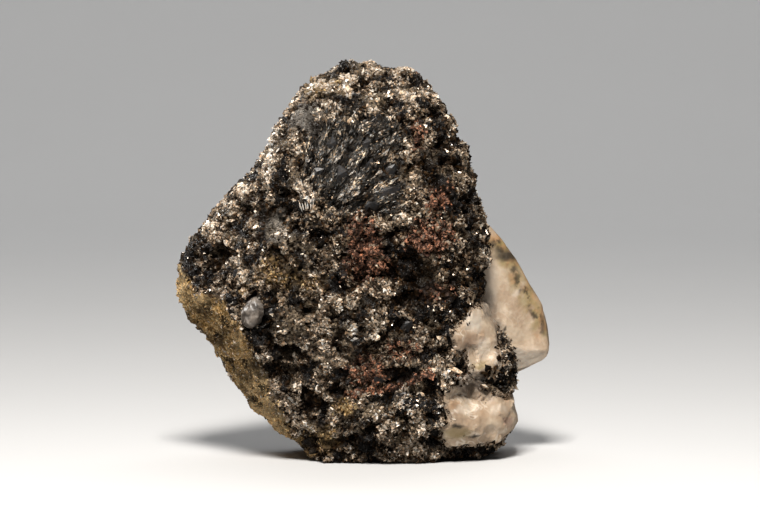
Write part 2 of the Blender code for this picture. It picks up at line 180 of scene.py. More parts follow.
# Hollows carved into the ore, which are also painted darker, as painted shade
HOLLOWS = (
    (-4.2, 47.0, 1.5, 1.8, 0.5),
    (-5.3, 43.0, 1.3, 1.8, 0.5),
    (-9.4, 43.3, 0.9, 1.2, 0.5),
    (-13.8, 36.6, 1.8, 1.2, 1.0),
    (-16.8, 36.6, 1.2, 1.1, 0.8),
    (-21.0, 29.9, 1.3, 1.7, 1.0),
    (-23.5, 32.2, 0.9, 1.0, 0.7),
    (0.2, 32.9, 1.2, 1.1, 0.8),
    (-2.7, 26.4, 1.3, 0.9, 0.7),
    (8.1, 27.5, 2.3, 3.0, 1.0),
    (6.1, 23.7, 3.2, 1.2, 0.9),
    (-11.6, 13.6, 3.0, 1.8, 1.0),
    (-7.6, 8.9, 1.9, 1.8, 1.0),
    (9.8, 51.0, 1.6, 0.9, 0.9),
    (8.4, 47.2, 1.4, 1.0, 0.7),
    (12.1, 46.3, 1.6, 0.8, 0.8),
    (-6.4, 33.6, 1.2, 1.0, 0.7),
    (1.0, 17.3, 1.2, 1.0, 0.8),
    (-3.5, 18.8, 1.2, 1.1, 0.7),
    (6.1, 13.6, 1.5, 1.2, 0.8),
    (9.8, 10.9, 1.8, 1.2, 0.9),
    (12.5, 7.7, 0.7, 1.2, 0.6),
    (15.0, 28.5, 2.2, 3.4, 0.5),
    (-7.2, 3.2, 1.5, 0.9, 0.8),
    (5.7, 20.1, 2.1, 1.2, 0.6),
    (-14.1, 21.0, 0.8, 1.0, 0.8),
    (16.1, 38.1, 0.8, 1.2, 0.6),
    (0.7, 55.2, 0.9, 0.9, 0.6),
)
OCHRE_STAINS = (
    (-23.4, 21.9, 1.5, 1.2, 0.9),
    (-20.2, 19.6, 0.9, 1.1, 0.9),
    (-16.9, 12.4, 0.7, 1.9, 0.7),
    (-21.0, 17.4, 1.6, 0.9, 0.8),
    (-14.0, 7.0, 1.6, 0.8, 0.4),
    (-18.6, 9.6, 1.5, 0.9, 0.4),
)
# Where the ochre is painted paler: along its left edge, and on its low side, where it is painted light
# because it faces down, away from the lamps
OCHRE_EDGE_AND_PAINTED_LIGHT = (
    (-27.2, 26.0, 1.2, 3.6, 0.9),
    (-24.6, 23.8, 2.6, 1.0, 0.5),
    (-18.2, 18.0, 0.8, 1.6, 0.5),
    (-13.0, 9.0, 5.0, 7.0, 0.8),
)

# Where ore lies over the quartz's edge
SPILLS = (
    (19.1, 12.3, 1.8, 1.9, 1.0),
    (20.4, 15.6, 0.7, 1.6, 0.8),
    (21.6, 1.6, 1.6, 0.8, 0.7),
    (22.6, 3.2, 0.5, 0.9, 0.9),
    (19.6, 1.2, 1.8, 0.8, 0.8),
)

# The edge between the dark front and the ochre side, from its foot to its top: z, x
OCHRE_EDGE_Z = (1.3, 4.6, 9.1, 13.2, 18.5, 21.5, 23.4, 24.8, 28.9)
OCHRE_EDGE_X = (-7.5, -10.7, -12.6, -14.4, -16.6, -18.0, -19.6, -24.0, -27.0)
OCHRE_EDGE_SOFTNESS, OCHRE_TOP_Z = 0.8, 31.0

# Stains, clear places and patches of painted light and shade on the quartz: x, z, half width, half height,
# strength
QUARTZ_RUST = (
    (19.9, 32.0, 1.3, 0.8, 1.0),
    (22.3, 28.9, 0.6, 0.6, 0.9),
    (24.5, 25.9, 0.5, 0.7, 0.6),
    (26.8, 19.8, 0.5, 2.0, 0.9),
    (13.1, 8.9, 1.0, 0.6, 0.5),
    (21.2, 9.8, 0.9, 0.8, 0.55),
    (17.8, 7.4, 0.6, 0.7, 0.35),
    (17.3, 19.1, 0.4, 0.7, 0.45),
)
QUARTZ_PINK = (
    (21.2, 5.5, 0.8, 0.8, 0.9),
    (25.4, 27.2, 0.5, 1.6, 0.4),
    (16.0, 18.0, 1.6, 0.9, 0.25),
)
QUARTZ_SMUDGE = (
    (19.2, 31.2, 0.6, 0.6, 0.8),
    (20.1, 30.2, 0.9, 0.75, 1.0),
    (21.3, 29.4, 2.0, 0.9, 1.0),
    (22.1, 27.3, 0.3, 0.8, 0.8),
    (22.9, 26.2, 0.35, 0.8, 0.8),
    (23.8, 24.0, 0.2, 0.25, 0.9),
    (26.9, 19.0, 0.35, 1.4, 0.7),
    (20.7, 18.8, 0.28, 0.45, 1.0),
    (13.7, 5.6, 0.9, 0.3, 1.0),
    (16.2, 4.0, 0.8, 0.26, 1.0),
    (14.6, 4.2, 0.2, 0.2, 1.0),
)
LOBE_BAND = ((19.8, 31.6), (21.1, 29.4), (22.2, 27.3), (23.3, 25.1), (24.4, 22.9), (25.8, 20.6), (27.0, 18.1))
QUARTZ_OLIVE = (
    (20.6, 30.8, 1.5, 1.1, 1.0),
    (21.3, 28.4, 1.6, 0.9, 0.9),
    (24.8, 24.0, 0.8, 1.7, 0.8),
    (23.3, 26.3, 0.7, 1.1, 0.6),
    (26.0, 21.3, 0.5, 0.8, 0.6),
    (13.8, 4.5, 2.0, 0.9, 0.8),
    (17.0, 14.2, 1.2, 0.6, 0.7),
)
QUARTZ_GLASSY_AND_RECESS_SHADE = (
    # the first two patches paint shade into the sunken band between the two windows; the rest are grey
    # see-through quartz
    (16.1, 11.6, 2.6, 1.9, 1.0),
    (16.2, 9.6, 3.6, 0.7, 0.5),
    (18.2, 22.2, 0.7, 1.8, 0.7),
    (19.6, 18.8, 0.7, 1.6, 0.75),
    (15.3, 17.0, 1.5, 0.9, 0.45),
)
GLASSY_STRIP = ((18.0, 24.0), (19.2, 20.5), (20.4, 17.6))  # a grey strip on the lobe: x, z
QUARTZ_SNOWY_AND_PAINTED_LIGHT = (
    (16.1, 20.6, 1.2, 1.6, 0.9),
    (17.2, 16.5, 1.0, 1.8, 0.5),
    (24.0, 22.7, 0.6, 0.8, 0.8),
    (22.6, 24.2, 0.5, 0.7, 0.7),
    (15.2, 8.0, 2.4, 0.6, 0.6),
    (19.5, 7.6, 1.6, 0.7, 0.5),
    # painted light: the lobe's shaded underside and its left edge beside the ore are painted paler
    (23.6, 14.2, 3.8, 1.8, 0.8),
    (18.6, 25.0, 1.2, 3.6, 0.6),
)

# The quartz's relief: how far it may rise, and the size and rise of the flat faces it is broken into
QUARTZ_MOST_RISE, QUARTZ_INTO_ORE = 0.6, 0.45
BROAD_FACETS, MIDDLE_FACETS, FINE_FACETS = (3.8, 0.70), (1.7, 0.18), (0.8, 0.06)
BOWL_SIZE, BOWL_RISE, LOBE_WAVES = 4.4, 0.5, 4.5
QUARTZ_STRETCH = (0.75, 1.0, 1.2)  # its broken forms are wider than they are tall
WINDOW_BACK = -3.5  # the quartz in front of this is the windows, and the rest is the lobe
WINDOW_FADE = 2.0
LOBE_FRONT = 12.0  # the stains on the lobe lie in front of this
UNDERSIDE_FORWARD = 1.1  # how far the lobe's underside is drawn forward
ORE_SEAM_WIDTH = 1.1  # how far from the ore the quartz is darker
QUARTZ_IOR = 1.54

# The sunken band between the two windows, over a step: its height, depth and reach
STEP_Z, STEP_TOP_Z, STEP_DEPTH, STEP_LEFT_X, STEP_RIGHT_X = 9.0, 13.4, 1.0, 11.0, 21.5
STEP_BEND_X = 17.5  # from here on the step rises to the right

# The photo's frame and where the stone stands in it, in pixels
PHOTO_WIDTH, PHOTO_HEIGHT = 760, 507
MM_PER_PIXEL = 0.1481
STONE_MIDDLE_X_PIXEL, STONE_FOOT_PIXEL = 363.5, 454.1
CAMERA_DISTANCE = 620.0
CAMERA_ELEVATION = math.radians(4.0)
SENSOR_WIDTH = 36.0

random = np.random.default_rng(SEED)
noise.seed_set(SEED)  # else the noise that gives vectors is another one in each run


# Meshes and masks

def numbers(items, field, width=1, kind=np.float64):
    """One field of many mesh items as an array, with a row for each item."""
    flat = np.empty(len(items) * width, kind)
    items.foreach_get(field, flat)
    return flat.reshape(-1, width) if width > 1 else flat


def points_of(mesh):
    return numbers(mesh.vertices, "co", 3) / MM


def set_points(mesh, points):
    mesh.vertices.foreach_set("co", (points * MM).ravel())
    mesh.update()


def new_object(name, mesh):
    made = bpy.data.objects.new(name, mesh)
    bpy.context.scene.collection.objects.link(made)
    return made


def evened(node, name, voxel):
    """A copy of a CAD node, remade of even squares that are fine enough to carve."""
    source = new_object(name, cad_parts[node].data.copy())
    remesh = source.modifiers.new("even squares", "REMESH")
    remesh.mode = "VOXEL"
    remesh.voxel_size = voxel * MM
    graph = bpy.context.evaluated_depsgraph_get()
    mesh = bpy.data.meshes.new_from_object(source.evaluated_get(graph))
    mesh.name = name
    mesh.materials.clear()
    source.modifiers.clear()
    source.data = mesh
    return source


def store(mesh, name, values):
    """Keeps a number for each vertex, which the materials read by its name."""
    attribute = mesh.attributes.new(name, "FLOAT", "POINT")
    attribute.data.foreach_set("value", values.astype(np.float32))


def unit(vectors):
    """The vectors, each made one long."""
    return vectors / np.maximum(np.linalg.norm(vectors, axis=1, keepdims=True), 1e-6)


def between(values, low, high):
    """From 0 to 1, how far each value is on its way from low to high."""
    return np.clip((values - low) / (high - low), 0.0, 1.0)


def in_front(points, front):
    """From 0 to 1, whether each point lies in front of a depth."""
    return between(front - points[:, 1], 0.0, FRONT_FADE)


def wandered(points, distance, size, shift=0.0):
    """The points moved by smooth noise, so that what is placed by them has an uneven edge."""
    offset = Vector((shift, -shift, 0.5 * shift))
    moves = [noise.noise_vector(Vector(p) / size + offset) for p in points]
    return points + distance * np.array(moves)


def patches(points, shapes, front=2.0):
    """From 0 to 1, how much each point lies in one of the named patches of the front."""
    mask = np.zeros(len(points))
    for x, z, half_width, half_height, strength in shapes:
        far = ((points[:, 0] - x) / half_width) ** 2 + ((points[:, 2] - z) / half_height) ** 2
        mask = np.maximum(mask, strength * np.exp(-far * far))
    return mask * in_front(points, front)


def near_line(points, line, half_width, front=2.0):
    """From 0 to 1, how close each point of the front lies to a bent line through the given x, z."""
    flat = points[:, (0, 2)]
    far = np.full(len(points), np.inf)
    for start, end in zip(line, line[1:]):
        along = np.subtract(end, start)
        share = np.clip((flat - start) @ along / (along @ along), 0.0, 1.0)
        far = np.minimum(far, np.linalg.norm(flat - start - share[:, None] * along, axis=1))
    return np.exp(-((far / half_width) ** 4)) * in_front(points, front)


def cloudy(points, size, shift, low, high):
    """Smooth noise from 0 to 1 that is 0 under low and 1 over high."""
    offset = Vector((shift, 0.7 * shift, -shift))
    values = np.array([noise.fractal(Vector(p) / size + offset, 1.0, 2.0, 3) for p in points])
    return between(values, low, high)


def ore_masks(points):
    """What the ore is like at each point: named masks, most of them from 0 to 1."""
    moved = wandered(points, distance=0.9, size=1.9)
    bent = wandered(points, distance=0.35, size=0.8)
    behind = between(points[:, 1], *BACK_COLOURS)
    edge = np.interp(moved[:, 2], OCHRE_EDGE_Z, OCHRE_EDGE_X)
    side = between(edge - moved[:, 0], 0.0, OCHRE_EDGE_SOFTNESS) * (points[:, 2] < OCHRE_TOP_Z)
    side = side * (1.0 - behind)
    fibrous = patches(moved, FIBROUS)
    rust = patches(moved, RUST)
    face_rise, face = broken_faces(bent, FACE_SIZE)
    seam = near_line(bent, RUST_SEAM, SEAM_HALF_WIDTH)
    back_rust = cloudy(points, *BACK_RUST) * behind
    back_ochre = cloudy(points, *BACK_OCHRE) * behind
    return {
        "rust": np.maximum.reduce([rust, seam, 0.8 * back_rust]),
        "seam": seam,
        "ochre": np.maximum.reduce([patches(moved, OCHRE), side, 0.8 * back_ochre]),
        "light": np.maximum(patches(moved, PALE_AND_PAINTED_HIGHLIGHT), 0.6 * cloudy(points, *LIGHT_CLOUDS)),
        "flakes_and_painted_glints": patches(moved, FLAKES_AND_PAINTED_GLINTS),
        "fibrous": fibrous,
        "haze": patches(moved, HAZE),
        "hollow": np.maximum(patches(moved, HOLLOWS), cloudy(points, *HOLLOW_CLOUDS)),
        "pit": cloudy(points, *PITS),
        "cluster": cloudy(points, *CLUSTERS),
        # painted light and shade: paler or darker by height, and darker in the patches of painted shade
        "paleness_with_painted_light": np.interp(points[:, 2], PAINTED_PALENESS_Z, PAINTED_PALENESS) - PAINTED_SHADE_DARKER_BY * patches(moved, PAINTED_SHADE_AND_DARKER, 8.0),
        "side": side,
        "stain": np.maximum(patches(moved, OCHRE_STAINS, EVERY_DEPTH), 0.7 * cloudy(points, *STAIN_CLOUDS)),
        "rim": patches(moved, OCHRE_EDGE_AND_PAINTED_LIGHT, EVERY_DEPTH),
        "streak": fibre_streaks(points),
        "face": face,
        "face_rise": face_rise,
        "plate": (face < PLATE_BELOW) * (1.0 - np.maximum.reduce([rust, fibrous, side])),
    }


# The ore's carved ground

def fibre_streaks(points):
    """From 0 to 1, long streaks that fan out with the fibres."""
    across, up = points[:, 0] - FIBRE_ROOT_X, points[:, 2] - FIBRE_ROOT_Z
    turn = np.arctan2(across, up) * FIBRES_A_RADIAN
    places = np.stack([turn, points[:, 1] / STREAK_DEPTH, np.hypot(across, up) / STREAK_LENGTH], axis=1)
    values = np.array([noise.noise(Vector(place)) for place in places])
    return np.clip(0.5 + 1.1 * values, 0.0, 1.0)


def on_face(spot):
    """How far a spot rises on its flat face, which tilts its own way, and where the face's middle is."""
    middle = noise.voronoi(spot)[1][0]
    return (spot - middle).dot(noise.noise_vector(middle * TILT_NOISE)), middle


def broken_faces(points, size):
    """The flat faces a mineral breaks into: each point's rise on its face, and the face's own number."""
    rise, own = np.empty((2, len(points)))
    for i, point in enumerate(points):
        rise[i], middle = on_face(Vector(point) / size)
        own[i] = noise.cell(middle * NUMBER_NOISE)
    return rise, own


def ore_relief(points, masks):
    """How far the ore rises at each point over the smooth solid."""
    clumps = np.array([noise.turbulence(Vector(p) / CLUMP_SIZE, 3, True) for p in points]) - 0.5
    chips = broken_faces(points, CHIP_SIZE)[0]
    rise = CLUMP_RISE * clumps + FACE_RISE * masks["face_rise"] + CHIP_RISE * chips
    smooth = np.maximum.reduce([masks["fibrous"], 0.8 * masks["side"], 0.7 * masks["haze"]])
    rise = rise * (1.0 - 0.8 * smooth) + COMMON_RISE
    rise += FIBRE_RISE * (masks["streak"] - 0.5) * masks["fibrous"]
    rise += SIDE_RISE * masks["side"] * (cloudy(points, *SIDE_LUMPS) - 0.5)
    rise += RUST_RISE * masks["rust"] * (cloudy(points, *RUST_LUMPS) - 0.6)
    rise += SEAM_RISE * masks["seam"]
    deep = HOLLOW_DEPTH * masks["hollow"] + PIT_DEPTH * masks["pit"]
    return rise - deep * (1.0 - 0.75 * smooth)


def smoothed(mesh, points, weights):
    """The points drawn again and again to their neighbours' middle, each as far as its weight."""
    ends = numbers(mesh.edges, "vertices", 2, np.int32)
    ends = np.vstack([ends, ends[:, ::-1]])
    neighbours = np.bincount(ends[:, 0], minlength=len(points))
    for _ in range(SMOOTHING_ROUNDS):
        sums = [np.bincount(ends[:, 0], points[ends[:, 1], k], len(points)) for k in range(3)]
        points = points + weights[:, None] * ((np.array(sums) / neighbours).T - points)
    return points


def ore_ground():
    """The ore between its loose grains: clumps, crumbs, hollows and fibres, broken flat."""
    made = evened("ore_mass", "ore_ground", ORE_VOXEL)
    mesh = made.data
    masks = ore_masks(points_of(mesh))
    set_points(mesh, smoothed(mesh, points_of(mesh), np.maximum(masks["side"], SMOOTHING)))
    points = points_of(mesh)
    rise = ore_relief(points, masks)
    # how high each point rises; grains are painted paler on the rises and darker low down, as painted light
    # and shade
    masks["high"] = between(rise - np.percentile(rise, 10), 0.0, 1.0)
    highest = MOST_RISE + SEAM_HEADROOM * masks["seam"]
    rise = np.minimum(rise + random.normal(0.0, JITTER, len(points)), highest)
    carved = points + numbers(mesh.vertices, "normal", 3) * rise[:, None]
    carved[:, 2] = np.maximum(carved[:, 2], 0.0)
    set_points(mesh, carved)
    for name in ("rust", "ochre", "stain", "rim", "light", "fibrous", "haze", "hollow", "face", "plate"):
        store(mesh, name, masks[name])
    mesh.shade_flat()
    mesh.materials.append(ore_ground_finish())
    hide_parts("ore_mass")
    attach(made, "root")
    return made, masks


# Loose grains on the ore

# A crystal has eight faces, and a splinter four: each form's corners and faces
CRYSTAL = (
    np.array([(1, 0, 0), (-1, 0, 0), (0, 1, 0), (0, -1, 0), (0, 0, 1), (0, 0, -1)], float),
    np.array([(0, 2, 4), (2, 1, 4), (1, 3, 4), (3, 0, 4), (2, 0, 5), (1, 2, 5), (3, 1, 5), (0, 3, 5)]),
)
SPLINTER = (
    np.array([(1.2, 0, -0.75), (-1.2, 0, -0.75), (0, 1.2, 0.75), (0, -1.2, 0.75)], float),
    np.array([(0, 1, 2), (1, 0, 3), (0, 2, 3), (1, 3, 2)]),
)


def scattered(mesh):
    """Places spread evenly over a mesh, each with the surface's facing and a vertex near it."""
    count = int(sum(p.area for p in mesh.polygons) / MM**2 * GRAINS_PER_MM2)
    mesh.calc_loop_triangles()
    corners = numbers(mesh.loop_triangles, "vertices", 3, np.int32)
    points = points_of(mesh)[corners]
    cross = np.cross(points[:, 1] - points[:, 0], points[:, 2] - points[:, 0])
    area = np.linalg.norm(cross, axis=1)
    chosen = random.choice(len(area), count, p=area / area.sum())
    share = random.uniform(0.0, 1.0, (count, 2))
    over = share.sum(axis=1) > 1.0
    share[over] = 1.0 - share[over]
    first, second, third = (points[chosen, k] for k in range(3))
    places = first + share[:, :1] * (second - first) + share[:, 1:] * (third - first)
    return places, cross[chosen] / np.maximum(area[chosen, None], 1e-9), corners[chosen, 0]


def solid_tree(node):
    """A CAD node's surface, for finding what lies near or in front of a point, in mm."""
    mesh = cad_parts[node].data
    return BVHTree.FromPolygons([v.co / MM for v in mesh.vertices], [p.vertices[:] for p in mesh.polygons])


def buried(places, facings, tree, reach, behind=0.2):
    """Whether each place looks straight at another solid that is closer than the reach."""
    found = []
    for place, facing in zip(places, facings):
        start = Vector(place) - behind * Vector(facing)
        found.append(tree.ray_cast(start, Vector(facing), reach + behind)[0] is not None)
    return np.array(found)


def grain_sizes(count):
    """Half sizes by chance: most grains are small, and a few are large."""
    return GRAIN_HALF_SIZE * np.minimum(np.exp(random.normal(0.0, GRAIN_SPREAD, count)), LARGEST_GRAIN)


def turned_on_surface(facings, along, looseness):
    """A rotation matrix for each grain that lies more or less flat, with its length along the given way."""
    up = unit(facings + random.normal(0.0, looseness, facings.shape))
    along = unit(along - (along * up).sum(axis=1, keepdims=True) * up)
    return np.stack([along, np.cross(up, along), up], axis=2)


def any_way(facings):
    """Grains that lie on the surface with their length any way."""
    return turned_on_surface(facings, random.normal(0.0, 1.0, facings.shape), LOOSENESS)


def along_fibres(places, facings):
    """Grains that lie on the surface and point away from the fibres' root."""
    away = unit((places - (FIBRE_ROOT_X, 0.0, FIBRE_ROOT_Z)) * (1.0, 0.0, 1.0))
    return turned_on_surface(facings, away + random.normal(0.0, FIBRE_STRAY, away.shape), FIBRE_LOOSENESS)


def grain_piece(name, form, centres, half_sizes, turns, tones, finish):
    """Many small crystals or splinters joined in one mesh, each a little out of true."""
    form_corners, form_faces = form
    count, each, sides = len(centres), len(form_corners), len(form_faces)
    corners = form_corners + random.normal(0.0, OUT_OF_TRUE, (count, each, 3))
    corners = np.einsum("nij,nkj->nki", turns, corners * half_sizes[:, None, :])
    points = corners + centres[:, None, :]
    points[:, :, 2] = np.maximum(points[:, :, 2], LOWEST_CORNER)
    faces = form_faces + each * np.arange(count)[:, None, None]
    mesh = bpy.data.meshes.new(name)
    mesh.vertices.add(each * count)
    mesh.loops.add(3 * sides * count)
    mesh.polygons.add(sides * count)
    mesh.vertices.foreach_set("co", (points * MM).ravel())
    mesh.loops.foreach_set("vertex_index", faces.ravel().astype(np.int32))
    mesh.polygons.foreach_set("loop_start", np.arange(0, 3 * sides * count, 3, dtype=np.int32))
    mesh.update(calc_edges=True)
    store(mesh, "tone", np.repeat(tones, each))
    mesh.shade_flat()
    mesh.materials.append(finish)
    made = new_object(name, mesh)
    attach(made, "root")


def add_grains(name, form, centres, half_sizes, turns, tones, finish):
    """The ore grains of one kind, in as many pieces as keep each piece's faces few."""
    most = MOST_FACES_A_PIECE // len(form[1])
    for part, start in enumerate(range(0, len(centres), most)):
        span = slice(start, start + most)
        piece = f"{name}_{part + 1}" if len(centres) > most else name
        grain_piece(piece, form, centres[span], half_sizes[span], turns[span], tones[span], finish)


# Each kind of grain's size along three axes, as shares of the common size
GRAIN_SHAPES = {
    "bright_flakes": (1.6, 1.1, 0.35),
    "pale_grains": (1.5, 1.0, 0.5),
    "tan_grains": (1.6, 1.0, 0.45),
    "metal_grains": (1.7, 1.1, 0.4),
    "brown_grains": (1.5, 1.1, 0.55),
    "dark_grains": (1.5, 1.2, 0.6),
    "rust_crumbs": (1.7, 1.3, 0.8),
    "ochre_crumbs": (1.1, 1.0, 0.6),
    "dark_slivers": (5.6, 1.5, 0.4),
    "tan_slivers": (3.6, 0.6, 0.4),
}

# The share of the ore's grains that are darker than each kind
DARKER_SHARE = (("brown_grains", 0.38), ("tan_grains", 0.66), ("pale_grains", 0.93), ("bright_flakes", 0.993))

# How much chance and each of the ground's masks count in how pale a grain is; the weights on hollows, pits
# and height paint shade into the hollows and pits and light onto the rises
CHANCE_PALENESS = 0.72
MASK_PALENESS = {
    "cluster": 0.15, "high": 0.12, "paleness_with_painted_light": 1.0, "face": 0.14, "plate": -0.4,
    "light": 0.48, "flakes_and_painted_glints": 0.35, "hollow": -0.55, "pit": -0.2,
}
# Up to which rank grains may be metallic, and the share that are, on open and on flaky ground
METAL_RANK, METAL_SHARE, METAL_FLAKES = 0.8, 0.15, 0.35
BRIGHT_FLAKES = 0.5
LIGHT_STREAK, LIGHT_SLIVERS = 0.48, 0.8
OCHRE_SHARE, RUST_SHARE = 0.9, 0.88


def kinds_of_grain(masks):
    """Which kind each grain is of, by chance and by the ground that it lies on."""
    count = len(masks["rust"])
    lot, second_lot, third_lot = random.uniform(0.0, 1.0, (3, count))
    paleness_with_painted_light = CHANCE_PALENESS * lot + sum(weight * masks[name] for name, weight in MASK_PALENESS.items())
    rank = paleness_with_painted_light.argsort().argsort() / count
    kind = np.full(count, "dark_grains", dtype="U16")
    for name, least in DARKER_SHARE:
        kind[rank >= least] = name
    # fewer metal grains glint in the hollows, as painted shade
    metal = METAL_SHARE * (1.0 - 0.9 * masks["hollow"]) + METAL_FLAKES * masks["flakes_and_painted_glints"]
    kind[(rank < METAL_RANK) & (second_lot < metal)] = "metal_grains"
    kind[lot < BRIGHT_FLAKES * masks["flakes_and_painted_glints"]] = "bright_flakes"
    sliver = third_lot < masks["fibrous"]
    light = lot < LIGHT_SLIVERS * np.clip(masks["streak"] - LIGHT_STREAK, 0.0, 1.0)
    kind[sliver & ~light] = "dark_slivers"
    kind[sliver & light] = "tan_slivers"
    kind[second_lot < OCHRE_SHARE * masks["ochre"]] = "ochre_crumbs"
    kind[second_lot < RUST_SHARE * masks["rust"]] = "rust_crumbs"
    return kind


def ore_grains(ground, masks, finishes):
    """Every kind of loose grain, from dark crystals to rusty crumbs, where each kind lies."""
    places, facings, near = scattered(ground.data)
    bare = random.uniform(0.0, 1.0, len(places)) < 0.8 * masks["haze"][near]
    under_quartz = buried(places, facings, solid_tree("quartz_mass"), reach=1.6)
    kept = ~under_quartz & (places[:, 2] > LOWEST_PLACE) & ~bare
    sparse = np.maximum(0.45 * masks["hollow"], 0.8 * masks["plate"])[near]
    behind = between(places[:, 1], *BACK_GRAINS)
    sparse = np.maximum(sparse, (1.0 - BACK_SHARE) * behind)
    kept &= random.uniform(0.0, 1.0, len(places)) > sparse
    places, facings, near, behind = places[kept], facings[kept], near[kept], behind[kept]
    masks = {name: values[near] for name, values in masks.items()}
    kinds = kinds_of_grain(masks)
    size = grain_sizes(len(places))
    size *= 1.0 - 0.25 * masks["side"] + 0.3 * masks["light"] + 0.2 * behind
    lift = random.uniform(-0.5, 0.2, len(places)) * size
    centres = places + facings * lift[:, None]
    tones = grain_tones(masks, kinds)
    fine = size < COARSE_GRAIN
    for name, shape in GRAIN_SHAPES.items():
        for suffix, form, of_size in (("", SPLINTER, fine), ("_coarse", CRYSTAL, ~fine)):
            own = np.nonzero((kinds == name) & of_size)[0]
            half_sizes = size[own, None] * np.array(shape)
            if name.endswith("slivers"):
                half_sizes = np.minimum(half_sizes, LONGEST_SLIVER * np.array(shape) / shape[0])
                turns = along_fibres(places[own], facings[own])
            else:
                turns = any_way(facings[own])
            add_grains(name + suffix, form, centres[own], half_sizes, turns, tones[own], finishes[name])


def grain_tones(masks, kinds):
    """How light each grain is for its kind, from 0 to 1: partly by chance, partly by its place."""
    by_place = masks["cluster"].copy()
    rusty, ochre = kinds == "rust_crumbs", kinds == "ochre_crumbs"
    # painted shade: rusty crumbs are painted darker the lower they lie
    by_place[rusty] = masks["high"][rusty] ** 2
    # ochre crumbs are lighter on the paler edge and where light is painted on the low side
    by_place[ochre] = np.clip(0.62 - 1.1 * masks["stain"] + 0.5 * masks["rim"], 0.0, 1.0)[ochre]
    chance = np.where(rusty | ochre, 0.35, 0.5)
    tones = chance * random.uniform(0.0, 1.0, len(kinds)) + (1.0 - chance) * by_place
    return np.where(kinds == "dark_grains", tones**1.8, tones)


# Single large crystals on the front: x, z, half length, half width, tilt in degrees
CREAM_CRYSTALS = (
    (-2.0, 54.2, 0.75, 0.55, 20.0),
    (1.0, 53.5, 0.45, 0.35, 70.0),
    (2.1, 52.8, 0.42, 0.32, 40.0),
    (5.7, 53.7, 0.60, 0.45, 30.0),
    (-2.1, 49.7, 0.70, 0.32, 50.0),
    (-4.3, 39.0, 0.26, 0.26, 0.0),
    # a thin white streak: a painted highlight for a glint
    (-1.3, 41.1, 0.70, 0.16, 75.0),
    (-8.6, 42.1, 0.38, 0.30, 10.0),
    (-13.2, 43.6, 0.36, 0.30, 80.0),
    (-17.3, 25.6, 0.60, 0.42, 25.0),
    (-6.0, 16.0, 0.50, 0.34, 15.0),
    (-4.2, 17.2, 0.42, 0.34, 60.0),
    (13.1, 14.0, 1.30, 0.40, -20.0),
    (1.9, 18.9, 0.50, 0.42, 45.0),
    (11.0, 18.6, 0.42, 0.36, 0.0),
    (2.7, 8.6, 0.45, 0.25, 35.0),
    (8.6, 10.4, 0.50, 0.25, -40.0),
)

# A pale flake that shows its thin leaves on edge, in the bright flakes' near-white finish that partly paints
# a glint: the first and the last leaf's x, z and tilt
LEAVES = 6
FIRST_LEAF, LAST_LEAF = (-9.0, 37.6, 108.0), (-7.2, 38.0, 86.0)
LEAF_HALF_LENGTH, LEAF_HALF_WIDTH = 0.95, 0.13
STRIPED_FLAKE = [
    (x, z, LEAF_HALF_LENGTH, LEAF_HALF_WIDTH, tilt)
    for x, z, tilt in np.linspace(FIRST_LEAF, LAST_LEAF, LEAVES)
]

# Dark smooth plates on the front: x, z, half length, half width, tilt in degrees
DARK_PLATES = (
    (-4.4, 46.4, 1.2, 0.9, 70.0),
    (-3.2, 41.6, 2.0, 1.0, 75.0),
    (-6.5, 42.4, 1.2, 0.7, 65.0),
    (0.2, 46.0, 1.3, 0.7, 60.0),
    (0.6, 43.2, 1.5, 0.6, 50.0),
    (3.7, 42.6, 1.4, 0.7, 35.0),
    (3.4, 39.6, 2.2, 1.1, 25.0),
    (1.2, 37.8, 1.4, 0.8, 20.0),
    (-1.3, 53.2, 0.9, 0.6, 0.0),
    (-5.0, 36.2, 0.9, 0.6, 40.0),
    (6.3, 20.6, 1.2, 0.9, 15.0),
    (5.3, 10.2, 1.1, 0.9, 50.0),
    (2.4, 12.9, 0.9, 0.6, 10.0),
    (-13.0, 22.4, 0.8, 0.6, 30.0),
    (-18.3, 27.9, 0.9, 0.6, 60.0),
)

# The kinds of grain on the quartz's edges, each with its share from one number to the next
SPILLED_SHARES = (
    ("dark_grains", 0.0, 0.64),
    ("brown_grains", 0.64, 0.88),
    ("tan_grains", 0.88, 0.95),
    ("metal_grains", 0.95, 1.0),
)


def set_crystals(name, crystals, thickness, ground, finish):
    """Single crystals, each set half into the ore at its place on the front."""
    tree = BVHTree.FromPolygons(points_of(ground.data), [p.vertices[:] for p in ground.data.polygons])
    lump = bmesh.new()
    bmesh.ops.create_icosphere(lump, subdivisions=1, radius=1.0)
    form = (np.array([v.co for v in lump.verts]), np.array([[v.index for v in f.verts] for f in lump.faces]))
    lump.free()
    centres, half_sizes, turns = [], [], []
    for x, z, half_length, half_width, tilt in crystals:
        place, facing = tree.ray_cast(Vector((x, -EVERY_DEPTH, z)), Vector((0.0, 1.0, 0.0)))[:2]
        centres.append(place + 0.2 * thickness * half_width * facing)
        half_sizes.append((half_length, thickness * half_width, half_width))
        turns.append(np.array(Matrix.Rotation(math.radians(-tilt), 3, "Y")))
    tones = random.uniform(0.4, 1.0, len(centres))
    grain_piece(name, form, np.array(centres), np.array(half_sizes), np.array(turns), tones, finish)


